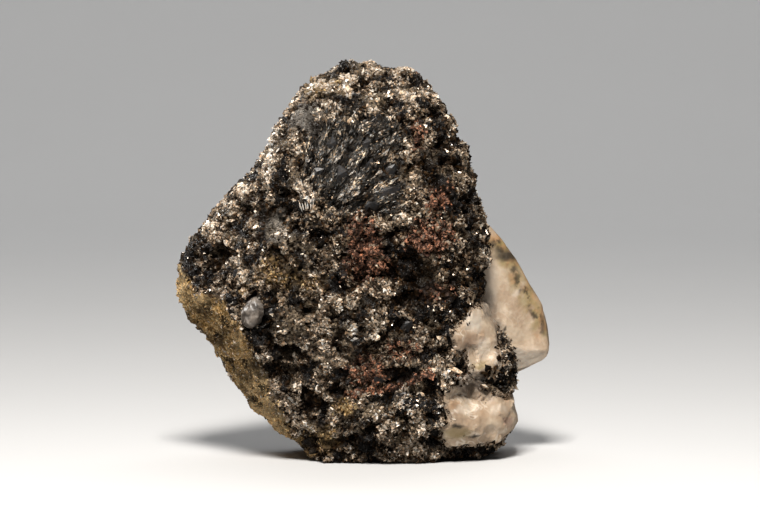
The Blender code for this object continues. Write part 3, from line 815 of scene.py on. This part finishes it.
def spilled_grains(quartz, finishes):
    """Ore grains on the quartz's edges, where one mineral passes into the other."""
    places, facings = scattered(quartz.data)[:2]
    tree = solid_tree("ore_mass")
    open_to_air = ~buried(places, facings, tree, reach=2.5)
    far = np.array([tree.find_nearest(Vector(p))[3] for p in places])
    reach = 0.15 + 0.9 * cloudy(places, *SPILL_EDGE)
    lot = random.uniform(0.0, 1.0, len(places))
    spill = patches(wandered(places, distance=0.8, size=1.4, shift=9.0), SPILLS, 9.0) > 0.45
    chance = np.maximum(0.85 * np.exp(-((far / reach) ** 8)), 0.97 * spill)
    kept = open_to_air & (places[:, 2] > LOWEST_PLACE) & (lot < chance)
    places, facings, spill = places[kept], facings[kept], spill[kept]
    size = grain_sizes(len(places)) * np.where(spill, 1.3, 0.9)
    centres = places + facings * (size * np.where(spill, 0.5, -0.35))[:, None]
    pick = random.uniform(0.0, 1.0, len(places))
    for name, low, high in SPILLED_SHARES:
        own = np.nonzero((pick >= low) & (pick < high))[0]
        half_sizes = size[own, None] * np.array(GRAIN_SHAPES[name])
        turns = any_way(facings[own])
        tones = random.uniform(0.0, 1.0, len(own))
        add_grains("spilled_" + name, SPLINTER, centres[own], half_sizes, turns, tones, finishes[name])


# The quartz

def facet(place, size, rise):
    """How far a point rises on flat broken faces of one size, each tilted its own way."""
    return rise * on_face(place / size)[0]


def quartz_relief(points):
    """Shallow scallops with crisp rims, as quartz breaks: deeper in the windows than on the lobe."""
    broad, fine = np.empty((2, len(points)))
    for i, point in enumerate(wandered(points, distance=0.7, size=1.7, shift=2.0) * QUARTZ_STRETCH):
        place = Vector(point)
        bowl = noise.voronoi(place / BOWL_SIZE + Vector((3.0, 1.0, 7.0)))[0][0]
        broad[i] = BOWL_RISE * (bowl * bowl - 0.25) + facet(place, *BROAD_FACETS)
        fine[i] = facet(place, *MIDDLE_FACETS) + facet(place, *FINE_FACETS)
    window = in_window(points)
    lobe = 1.0 - window
    soft = np.array([noise.noise(Vector(p) / LOBE_WAVES) for p in points])
    return (broad + fine - STEP_DEPTH * recess(points)) * window + (0.12 * broad + 0.5 * soft) * lobe


def in_window(points):
    """From 0 to 1, whether each point is in front of the lobe."""
    return between(WINDOW_BACK - points[:, 1], 0.0, WINDOW_FADE)


def recess(points):
    """From 0 to 1, the sunken band between the two windows, with a crisp foot and a soft top."""
    foot = STEP_Z + 0.8 * (cloudy(points, *FOOT_WAVES) - 0.5)
    foot += 0.6 * np.maximum(points[:, 0] - STEP_BEND_X, 0.0)
    over_foot = between(points[:, 2] - foot, 0.0, 0.6)
    under_top = between(STEP_TOP_Z - points[:, 2], 0.0, 1.6)
    inward = np.minimum(points[:, 0] - STEP_LEFT_X, STEP_RIGHT_X - points[:, 0])
    return over_foot * under_top * between(inward, 0.0, 2.8)


def edge_stain(points, moved, shapes, half_width, clouds, strength):
    """From 0 to 1, a stain in patches and in spots along the lobe's outer edge."""
    band = near_line(moved, LOBE_BAND, half_width, LOBE_FRONT) * cloudy(points, *clouds)
    return np.maximum(patches(moved, shapes, LOBE_FRONT), strength * band)


def quartz_masks(points, ore):
    """What the quartz is like at each point: named masks from 0 to 1."""
    moved = wandered(points, distance=0.6, size=1.4, shift=4.0)
    spotted = wandered(points, distance=0.45, size=0.8, shift=4.0)
    broken = 1.0 - between(points[:, 1], 2.0, 4.0) * cloudy(points, *CLEAN_QUARTZ)
    strip = 0.4 * near_line(moved, GLASSY_STRIP, 0.8, LOBE_FRONT)
    uneven = wandered(points, distance=0.5, size=1.0, shift=6.0)
    far = np.array([ore.find_nearest(Vector(p))[3] for p in uneven])
    seam = np.clip(1.0 - far / ORE_SEAM_WIDTH, 0.0, 1.0) * in_front(points, 2.0)
    return {
        "rust": broken * edge_stain(points, moved, QUARTZ_RUST, 1.3, BAND_RUST, 0.8),
        "olive": broken * edge_stain(points, moved, QUARTZ_OLIVE, 1.5, BAND_OLIVE, 0.8),
        "pink": patches(moved, QUARTZ_PINK, LOBE_FRONT),
        "smudge": broken * edge_stain(points, spotted, QUARTZ_SMUDGE, 0.7, BAND_SMUDGE, 0.9),
        "window": in_window(points),
        "snowy_and_painted_light": patches(moved, QUARTZ_SNOWY_AND_PAINTED_LIGHT, LOBE_FRONT),
        "glassy_and_recess_shade": np.maximum(patches(moved, QUARTZ_GLASSY_AND_RECESS_SHADE, 4.0), strip),
        "seam": seam * (0.25 + 0.75 * in_window(points)),
    }


def quartz_body():
    """The milky quartz: the lobe behind and the windows in front, stained along their edges."""
    made = evened("quartz_mass", "quartz_body", QUARTZ_VOXEL)
    mesh = made.data
    points = points_of(mesh)
    normals = numbers(mesh.vertices, "normal", 3)
    ore = solid_tree("ore_mass")
    in_ore = buried(points, normals, ore, reach=1.4)
    rise = np.where(in_ore, QUARTZ_INTO_ORE, np.minimum(quartz_relief(points), QUARTZ_MOST_RISE))
    carved = points + normals * rise[:, None]
    on_lobe = between(points[:, 1] - WINDOW_BACK, 0.0, WINDOW_FADE) * (normals[:, 1] < 0.3)
    carved[:, 1] -= UNDERSIDE_FORWARD * on_lobe * np.clip(-normals[:, 2] - 0.1, 0.0, 0.8)
    carved[:, 2] = np.maximum(carved[:, 2], 0.0)
    set_points(mesh, carved)
    for name, values in quartz_masks(points, ore).items():
        store(mesh, name, values)
    mesh.shade_smooth()
    mesh.set_sharp_from_angle(angle=math.radians(22.0))
    mesh.materials.append(milky_quartz_finish())
    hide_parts("quartz_mass")
    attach(made, "root")
    return made


def grey_grain():
    """The small cloudy grain set in the ore at the left."""
    made = evened("quartz_grain", "grey_grain", GRAIN_VOXEL)
    mesh = made.data
    points = points_of(mesh)
    rise = [0.22 * noise.fractal(Vector(p) / 1.3, 1.0, 2.0, 3) for p in points]
    set_points(mesh, points + numbers(mesh.vertices, "normal", 3) * np.array(rise)[:, None])
    mesh.shade_smooth()
    mesh.materials.append(grey_quartz_finish())
    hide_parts("quartz_grain")
    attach(made, "root")


# Node helpers

def feed(tree, node, inputs):
    """Joins each of a node's given inputs to an output, or sets it to a value."""
    for key, value in inputs.items():
        if isinstance(value, bpy.types.NodeSocket):
            tree.links.new(value, node.inputs[key])
        else:
            node.inputs[key].default_value = value


def add(tree, kind, inputs=None, **settings):
    """A new node with its settings and its inputs."""
    node = tree.nodes.new(kind)
    for field, value in settings.items():
        setattr(node, field, value)
    feed(tree, node, inputs or {})
    return node


def colour(red, green, blue):
    return (red, green, blue, 1.0)


def mixed(tree, factor, first, second, blend="MIX"):
    """The colour output of a mix of two colours."""
    colours = {0: factor, 6: first, 7: second}  # a mix node's sockets for colours
    return add(tree, "ShaderNodeMix", colours, data_type="RGBA", blend_type=blend).outputs[2]


def multiplied(tree, first, second):
    return mixed(tree, 1.0, first, second, "MULTIPLY")


def maths(tree, operation, first, second=0.0, clamp=False):
    """The output of one step of arithmetic on numbers or outputs."""
    node = add(tree, "ShaderNodeMath", {0: first, 1: second}, operation=operation, use_clamp=clamp)
    return node.outputs[0]


def ranging(tree, mask, low, spread):
    """A number that is low where the mask is 0, and higher by the spread where it is 1."""
    return maths(tree, "ADD", low, maths(tree, "MULTIPLY", mask, spread))


def grey(tree, shade):
    """A colour output with one number in all its channels."""
    return add(tree, "ShaderNodeCombineColor", {0: shade, 1: shade, 2: shade}).outputs[0]


def ramp(tree, factor, stops, steps=False):
    """A colour ramp's colour output, from (place, colour) stops."""
    node = add(tree, "ShaderNodeValToRGB", {"Fac": factor})
    node.color_ramp.interpolation = "CONSTANT" if steps else "LINEAR"
    elements = node.color_ramp.elements
    while len(elements) < len(stops):
        elements.new(0.5)
    for element, (place, value) in zip(elements, stops):
        element.position = place
        element.color = value
    return node.outputs["Color"]


def attribute(tree, name):
    return add(tree, "ShaderNodeAttribute", attribute_name=name).outputs["Fac"]


def texture(tree, kind, scale, **inputs):
    """A noise or cell texture that stays in place on the stone."""
    place = add(tree, "ShaderNodeTexCoord").outputs["Object"]
    return add(tree, "ShaderNodeTex" + kind, {"Vector": place, "Scale": scale, **inputs})


def new_group(name, inputs, outputs):
    """A node group with numbers as inputs: its tree, its given outputs, its result and its texture scale."""
    tree = bpy.data.node_groups.new(name, "ShaderNodeTree")
    for label, value in inputs.items():
        socket = tree.interface.new_socket(label, in_out="INPUT", socket_type="NodeSocketFloat")
        socket.default_value = value
    for label, kind in outputs.items():
        tree.interface.new_socket(label, in_out="OUTPUT", socket_type="NodeSocket" + kind)
    given = tree.nodes.new("NodeGroupInput").outputs
    scale = maths(tree, "DIVIDE", 1.0 / MM, given["Size in mm"])
    return tree, given, tree.nodes.new("NodeGroupOutput"), scale


def build_mottle():
    """A group: even-tempered cloudy variation at one size, as a mask and as a colour multiplier."""
    tree, given, result, scale = new_group(
        "mottle", {"Size in mm": 1.0, "Depth": 0.3}, {"Mask": "Float", "Shade": "Color"})
    mask = texture(tree, "Noise", scale, Detail=4.0, Roughness=0.6).outputs["Fac"]
    low = maths(tree, "SUBTRACT", 1.0, given["Depth"])
    shade = ranging(tree, mask, low, given["Depth"])
    shade = ranging(tree, given["Depth"], shade, 0.5)
    feed(tree, result, {"Mask": mask, "Shade": grey(tree, shade)})
    return tree


def build_grit():
    """A group: the height of fine grit, for a bump."""
    tree, _, result, scale = new_group("grit", {"Size in mm": 0.2}, {"Height": "Float"})
    cells = texture(tree, "Voronoi", scale)
    cloud = texture(tree, "Noise", scale, Detail=3.0)
    feed(tree, result, {"Height": maths(tree, "ADD", cells.outputs["Distance"], cloud.outputs["Fac"])})
    return tree


def build_speckle():
    """A group: crisp specks, each of its own shade and tint, as colour multipliers around one."""
    tree, given, result, scale = new_group(
        "speckle", {"Size in mm": 0.25, "Depth": 0.8}, {"Pick": "Float", "Shade": "Color", "Tint": "Color"})
    cells = texture(tree, "Voronoi", scale)
    parts = add(tree, "ShaderNodeSeparateColor", {0: cells.outputs["Color"]})
    pick = parts.outputs[0]
    tint = mixed(tree, parts.outputs[1], colour(1.18, 0.95, 0.74), colour(0.88, 1.0, 1.10))
    steep = maths(tree, "MULTIPLY", maths(tree, "POWER", pick, 1.6), 2.1)
    shade = ranging(tree, given["Depth"], 1.0, maths(tree, "SUBTRACT", steep, 1.0))
    feed(tree, result, {"Pick": pick, "Shade": grey(tree, shade), "Tint": tint})
    return tree


def build_wisps():
    """A group: long broken lines, as cracks and healed seams show in quartz, as a mask."""
    tree, given, result, scale = new_group("wisps", {"Size in mm": 3.0, "Width": 0.03}, {"Mask": "Float"})
    lines = texture(tree, "Noise", scale, Detail=2.0, Distortion=0.9).outputs["Fac"]
    parts = texture(tree, "Noise", maths(tree, "MULTIPLY", scale, 0.7), Detail=1.0).outputs["Fac"]
    off_line = maths(tree, "ABSOLUTE", maths(tree, "SUBTRACT", lines, 0.5))
    off_line = maths(tree, "DIVIDE", off_line, given["Width"], clamp=True)
    shown = maths(tree, "MULTIPLY", maths(tree, "SUBTRACT", parts, 0.46), 8.0, clamp=True)
    feed(tree, result, {"Mask": maths(tree, "MULTIPLY", maths(tree, "SUBTRACT", 1.0, off_line), shown)})
    return tree


MOTTLE = build_mottle()
WISPS = build_wisps()
SPECKLE = build_speckle()
GRIT = build_grit()


def placed(tree, group, **inputs):
    """The outputs of a shared group in a material, with this material's own values."""
    values = {label.replace("_", " "): value for label, value in inputs.items()}
    return add(tree, "ShaderNodeGroup", values, node_tree=group).outputs


def stained(tree, base, name, tint, amount=None):
    """The base colour stained where the mesh's own mask of that name says, by an amount if one is given."""
    factor = attribute(tree, name)
    if amount is not None:
        factor = maths(tree, "MULTIPLY", factor, amount)
    return mixed(tree, factor, base, tint)


def lined(tree, base, size, width, amount, tint):
    """The base colour with cracks or healed seams in it."""
    lines = placed(tree, WISPS, Size_in_mm=size, Width=width)["Mask"]
    return mixed(tree, maths(tree, "MULTIPLY", lines, amount), base, tint)


def new_finish(name):
    """A new material, its node tree and its shader."""
    material = bpy.data.materials.new(name)
    material.use_nodes = True
    tree = material.node_tree
    return material, tree, tree.nodes["Principled BSDF"]


def bumped(tree, shader, size, distance):
    """Gives a shader fine grit of one size and height, in mm."""
    height = placed(tree, GRIT, Size_in_mm=size)["Height"]
    bump = add(tree, "ShaderNodeBump", {"Height": height, "Strength": 1.0, "Distance": distance * MM})
    feed(tree, shader, {"Normal": bump.outputs["Normal"]})


# The finishes

def ore_ground_finish():
    """Dark ore with a scatter of lighter mineral specks, rusty, ochre and hazy stains, and painted shade in
    its hollows.
    """
    material, tree, shader = new_finish("ore ground")
    pick = placed(tree, SPECKLE, Size_in_mm=0.30, Depth=0.75)["Pick"]
    mottle = placed(tree, MOTTLE, Size_in_mm=2.2, Depth=0.6)["Shade"]
    base = ramp(tree, pick, [
        (0.0, colour(0.004, 0.002, 0.001)),
        (0.34, colour(0.020, 0.012, 0.006)),
        (0.68, colour(0.075, 0.051, 0.031)),
        (0.93, colour(0.22, 0.175, 0.13)),
    ], steps=True)
    base = multiplied(tree, base, mottle)
    face_shade = mixed(tree, attribute(tree, "face"), colour(0.35, 0.34, 0.34), colour(1.5, 1.45, 1.4))
    base = multiplied(tree, base, face_shade)
    base = stained(tree, base, "plate", colour(0.010, 0.009, 0.0085))
    base = stained(tree, base, "fibrous", colour(0.011, 0.011, 0.012), 0.85)
    # pale specks in the pale patches, one of which, along the left edge, is a painted highlight
    base = stained(tree, base, "light", colour(0.30, 0.225, 0.145), pick)
    rust_shade = mixed(tree, pick, colour(0.007, 0.0025, 0.001), colour(0.085, 0.045, 0.030))
    base = stained(tree, base, "rust", rust_shade)
    ochre_shade = mixed(tree, pick, colour(0.070, 0.038, 0.012), colour(0.27, 0.165, 0.055))
    # paler ochre along the left edge, and painted light on the low side
    ochre_shade = stained(tree, ochre_shade, "rim", colour(0.42, 0.32, 0.185))
    ochre_shade = stained(tree, ochre_shade, "stain", colour(0.030, 0.022, 0.013))
    base = stained(tree, base, "ochre", multiplied(tree, ochre_shade, mottle))
    haze_shade = mixed(tree, pick, colour(0.065, 0.057, 0.048), colour(0.24, 0.215, 0.185))
    base = stained(tree, base, "haze", haze_shade, 0.7)
    # painted shade: the hollows are painted near black
    base = stained(tree, base, "hollow", colour(0.005, 0.003, 0.0015), 0.85)
    dull = maths(tree, "MAXIMUM", attribute(tree, "rust"), attribute(tree, "ochre"))
    rough = ranging(tree, dull, 0.46, 0.42)
    rough = maths(tree, "SUBTRACT", rough, maths(tree, "MULTIPLY", attribute(tree, "plate"), 0.20))
    feed(tree, shader, {"Base Color": base, "Roughness": rough, "Specular IOR Level": 0.15})
    bumped(tree, shader, 0.20, 0.11)
    return material


# Each kind of grain's darkest and lightest colour, its least and most roughness, and what else sets it apart
GRAIN_LOOKS = {
    "dark_grains": dict(
        dark=(0.0018, 0.0009, 0.0004), light=(0.040, 0.022, 0.0095), rough=(0.3, 0.6), gloss=0.08),
    "brown_grains": dict(
        dark=(0.020, 0.011, 0.005), light=(0.180, 0.135, 0.092), rough=(0.3, 0.65), gloss=0.25),
    "metal_grains": dict(
        dark=(0.04, 0.030, 0.021), light=(0.60, 0.54, 0.47), rough=(0.22, 0.46), metal=1.0),
    "tan_grains": dict(
        dark=(0.11, 0.080, 0.052), light=(0.45, 0.38, 0.30), rough=(0.3, 0.65), gloss=0.35),
    "pale_grains": dict(
        dark=(0.28, 0.23, 0.175), light=(0.78, 0.71, 0.62), rough=(0.25, 0.6), gloss=0.4, specks=0.4),
    # bright flakes are near white, partly a painted glint
    "bright_flakes": dict(
        dark=(0.55, 0.52, 0.48), light=(0.92, 0.90, 0.86), rough=(0.25, 0.5), metal=0.5, specks=0.3),
    "cream_crystals": dict(
        dark=(0.30, 0.22, 0.145), light=(0.66, 0.54, 0.41), rough=(0.3, 0.6), gloss=0.4, specks=0.5),
    "rust_crumbs": dict(
        dark=(0.010, 0.003, 0.0010), light=(0.250, 0.122, 0.076), rough=(0.5, 0.9), grit=0.2, gloss=0.25,
        specks=0.9),
    "ochre_crumbs": dict(
        dark=(0.026, 0.016, 0.008), light=(0.56, 0.41, 0.215), rough=(0.75, 0.95), grit=0.2, gloss=0.08,
        specks=0.5),
    "dark_slivers": dict(
        dark=(0.002, 0.002, 0.002), light=(0.14, 0.133, 0.124), rough=(0.32, 0.52), metal=0.8, gloss=0.15),
    "dark_plates": dict(
        dark=(0.007, 0.007, 0.0075), light=(0.030, 0.029, 0.030), rough=(0.30, 0.50), metal=0.4, specks=0.3),
    "tan_slivers": dict(
        dark=(0.13, 0.10, 0.068), light=(0.50, 0.42, 0.32), rough=(0.3, 0.55), metal=0.3),
}


def grain_finish(name, dark, light, rough, metal=0.0, grit=0.14, gloss=0.5, specks=0.6):
    """Grains whose colours run from dark to light, each grain with a tone and specks of its own."""
    material, tree, shader = new_finish(name)
    speckle = placed(tree, SPECKLE, Size_in_mm=0.22, Depth=specks)
    mottle = placed(tree, MOTTLE, Size_in_mm=0.5, Depth=0.4)
    base = mixed(tree, attribute(tree, "tone"), colour(*dark), colour(*light))
    base = multiplied(tree, base, speckle["Shade"])
    base = multiplied(tree, base, speckle["Tint"])
    low, high = rough
    feed(tree, shader, {
        "Base Color": base,
        "Roughness": ranging(tree, mottle["Mask"], low, high - low),
        "Metallic": metal,
        "Specular IOR Level": gloss,
    })
    bumped(tree, shader, grit, 0.012)
    return material


def grain_finishes():
    """The finish of each kind of grain, by the kind's name."""
    return {name: grain_finish(name.replace("_", " "), **looks) for name, looks in GRAIN_LOOKS.items()}


def quartz_shader(tree, shader, base, rough, depth, radius, weight):
    """Quartz of one colour and roughness, with light passing to a depth in mm into it."""
    feed(tree, shader, {
        "Base Color": base,
        "Roughness": rough,
        "Subsurface Weight": weight,
        "Subsurface Radius": radius,
        "Subsurface Scale": depth * MM,
        "IOR": QUARTZ_IOR,
    })


def milky_quartz_finish():
    """Milky quartz, warm and cloudy, with rusty and dark stains and a waxy sheen, painted paler where the
    lobe lies in shade and darker in the sunken band.
    """
    material, tree, shader = new_finish("milky quartz")
    broad = placed(tree, MOTTLE, Size_in_mm=4.8, Depth=0.25)
    fine = placed(tree, MOTTLE, Size_in_mm=0.9, Depth=0.12)
    base = ramp(tree, broad["Mask"], [
        (0.34, colour(0.285, 0.200, 0.130)),
        (0.48, colour(0.385, 0.285, 0.196)),
        (0.62, colour(0.49, 0.39, 0.285)),
    ])
    # snowy white quartz, and painted light on the lobe's shaded underside and left edge
    base = stained(tree, base, "snowy_and_painted_light", colour(0.60, 0.53, 0.44), 0.8)
    base = multiplied(tree, base, fine["Shade"])
    shown = ranging(tree, attribute(tree, "window"), 0.2, 0.5)
    base = lined(tree, base, 4.0, 0.02, shown, colour(0.25, 0.175, 0.11))
    base = lined(tree, base, 2.6, 0.05, shown, colour(0.70, 0.62, 0.52))
    swirl = ramp(tree, fine["Mask"], [
        (0.38, colour(0.040, 0.033, 0.028)),
        (0.50, colour(0.12, 0.098, 0.080)),
        (0.62, colour(0.32, 0.265, 0.21)),
    ])
    base = stained(tree, base, "seam", colour(0.16, 0.12, 0.085), 0.75)
    # grey see-through quartz, and painted shade in the sunken band between the windows
    base = stained(tree, base, "glassy_and_recess_shade", swirl, 0.95)
    base = stained(tree, base, "olive", colour(0.25, 0.185, 0.065), 0.85)
    base = stained(tree, base, "rust", colour(0.36, 0.20, 0.095), 0.80)
    base = stained(tree, base, "pink", colour(0.33, 0.205, 0.145), 0.8)
    base = stained(tree, base, "smudge", colour(0.026, 0.019, 0.011), 0.95)
    rough = ranging(tree, fine["Mask"], 0.40, 0.35)
    quartz_shader(tree, shader, base, rough, depth=1.2, radius=(1.0, 0.66, 0.45), weight=0.22)
    bumped(tree, shader, 0.7, 0.06)
    return material


def grey_quartz_finish():
    """Grey cloudy quartz, with light passing a little way into it."""
    material, tree, shader = new_finish("grey quartz")
    cloud = placed(tree, MOTTLE, Size_in_mm=1.4, Depth=0.3)["Mask"]
    base = ramp(tree, cloud, [
        (0.34, colour(0.034, 0.028, 0.023)),
        (0.50, colour(0.076, 0.063, 0.052)),
        (0.64, colour(0.165, 0.139, 0.115)),
    ])
    base = lined(tree, base, 1.8, 0.06, 0.6, colour(0.32, 0.285, 0.25))
    rough = ranging(tree, cloud, 0.26, 0.3)
    quartz_shader(tree, shader, base, rough, depth=1.0, radius=(1.0, 0.9, 0.85), weight=0.5)
    bumped(tree, shader, 0.5, 0.03)
    return material


# The studio

# Each lamp's direction round the stone and height in degrees, distance and size in metres, power and tint
LAMPS = {
    "key": (-4.0, 50.0, 0.42, (0.11, 0.11), 3.35, (1.0, 0.955, 0.90)),
    "fill": (-48.0, 4.0, 0.60, (0.20, 0.26), 0.95, (1.0, 0.95, 0.90)),
    "rim": (-128.0, 36.0, 0.55, (0.10, 0.30), 4.2, (1.0, 0.99, 0.97)),
    "overhead": (180.0, 80.0, 1.40, (1.6, 1.6), 1.04, (1.0, 0.99, 0.98)),
    "backdrop": (180.0, 48.0, 1.25, (1.6, 0.5), 7.0, (1.0, 1.0, 1.0)),
}


def stage_finish():
    """Pale matt paper."""
    material, tree, shader = new_finish("pale paper")
    shade = placed(tree, MOTTLE, Size_in_mm=60.0, Depth=0.03)["Shade"]
    base = multiplied(tree, colour(0.60, 0.605, 0.61), shade)
    feed(tree, shader, {"Base Color": base, "Roughness": 0.85})
    return material


def paper_sweep():
    """A pale floor that curves up far behind into a backdrop."""
    floor_front, floor_back, bend, height, half_width = -2.0, 0.5, 0.5, 2.2, 3.0  # in metres
    profile = [(floor_front, 0.0), (floor_back, 0.0)]
    for step in range(1, 13):
        angle = math.radians(90.0 * step / 12)
        profile.append((floor_back + bend * math.sin(angle), bend * (1 - math.cos(angle))))
    profile.append((floor_back + bend, height))
    points = [(side * half_width, y, z) for y, z in profile for side in (-1, 1)]
    faces = [(2 * k, 2 * k + 1, 2 * k + 3, 2 * k + 2) for k in range(len(profile) - 1)]
    mesh = bpy.data.meshes.new("paper_sweep")
    mesh.from_pydata(points, [], faces)
    mesh.shade_smooth()
    mesh.materials.append(stage_finish())
    paper = new_object("paper_sweep", mesh)
    paper.visible_glossy = False
    return paper


def softbox(name, azimuth, elevation, distance, size, power, tint):
    """A soft area light that looks at the stone from a direction given in degrees."""
    light = bpy.data.lights.new(name, "AREA")
    light.shape = "RECTANGLE"
    light.size, light.size_y = size
    light.energy = power
    light.color = tint
    lamp = new_object(name, light)
    turn, rise = math.radians(azimuth), math.radians(elevation)
    back = Vector((math.sin(turn) * math.cos(rise), -math.cos(turn) * math.cos(rise), math.sin(rise)))
    lamp.location = Vector((0.0, 0.0, 30.0 * MM)) + back * distance
    lamp.rotation_euler = back.to_track_quat("Z", "Y").to_euler()
    return lamp


def studio(paper):
    """A small key lamp for the stone's glints, two soft ones, and broad ones for the paper alone."""
    bpy.context.scene.view_settings.view_transform = "Standard"
    lamps = {name: softbox(name, *lamp) for name, lamp in LAMPS.items()}
    all_but_paper = bpy.data.collections.new("all but the paper")
    all_but_paper.objects.link(paper)
    all_but_paper.collection_objects[0].light_linking.link_state = "EXCLUDE"
    paper_only = bpy.data.collections.new("paper only")
    paper_only.objects.link(paper)
    for name in ("fill", "rim"):
        lamps[name].light_linking.receiver_collection = all_but_paper
    for name in ("overhead", "backdrop"):
        lamps[name].light_linking.receiver_collection = paper_only
    world = bpy.data.worlds.new("studio air")
    world.use_nodes = True
    background = world.node_tree.nodes["Background"]
    background.inputs["Color"].default_value = colour(0.86, 0.84, 0.82)
    background.inputs["Strength"].default_value = 0.03
    bpy.context.scene.world = world


def camera():
    """A long lens that looks a little down on the stone, framed as in the photo."""
    data = bpy.data.cameras.new("long_lens")
    data.sensor_width = SENSOR_WIDTH
    data.lens = SENSOR_WIDTH * CAMERA_DISTANCE / (PHOTO_WIDTH * MM_PER_PIXEL)
    data.clip_start, data.clip_end = 0.01, 50.0
    lens = new_object("long_lens", data)
    across = (PHOTO_WIDTH / 2 - STONE_MIDDLE_X_PIXEL) * MM_PER_PIXEL
    up = (STONE_FOOT_PIXEL - PHOTO_HEIGHT / 2) * MM_PER_PIXEL
    target = Vector((across, 0.0, up / math.cos(CAMERA_ELEVATION))) * MM
    back = Vector((0.0, -math.cos(CAMERA_ELEVATION), math.sin(CAMERA_ELEVATION)))
    lens.location = target + back * CAMERA_DISTANCE * MM
    lens.rotation_euler = back.to_track_quat("Z", "Y").to_euler()
    bpy.context.scene.camera = lens


def main():
    ground, masks = ore_ground()
    finishes = grain_finishes()
    ore_grains(ground, masks, finishes)
    set_crystals("cream_crystals", CREAM_CRYSTALS, 1.0, ground, finishes["cream_crystals"])
    set_crystals("dark_plates", DARK_PLATES, 0.35, ground, finishes["dark_plates"])
    set_crystals("striped_flake", STRIPED_FLAKE, 3.0, ground, finishes["bright_flakes"])
    quartz = quartz_body()
    spilled_grains(quartz, finishes)
    grey_grain()
    studio(paper_sweep())
    camera()


main()
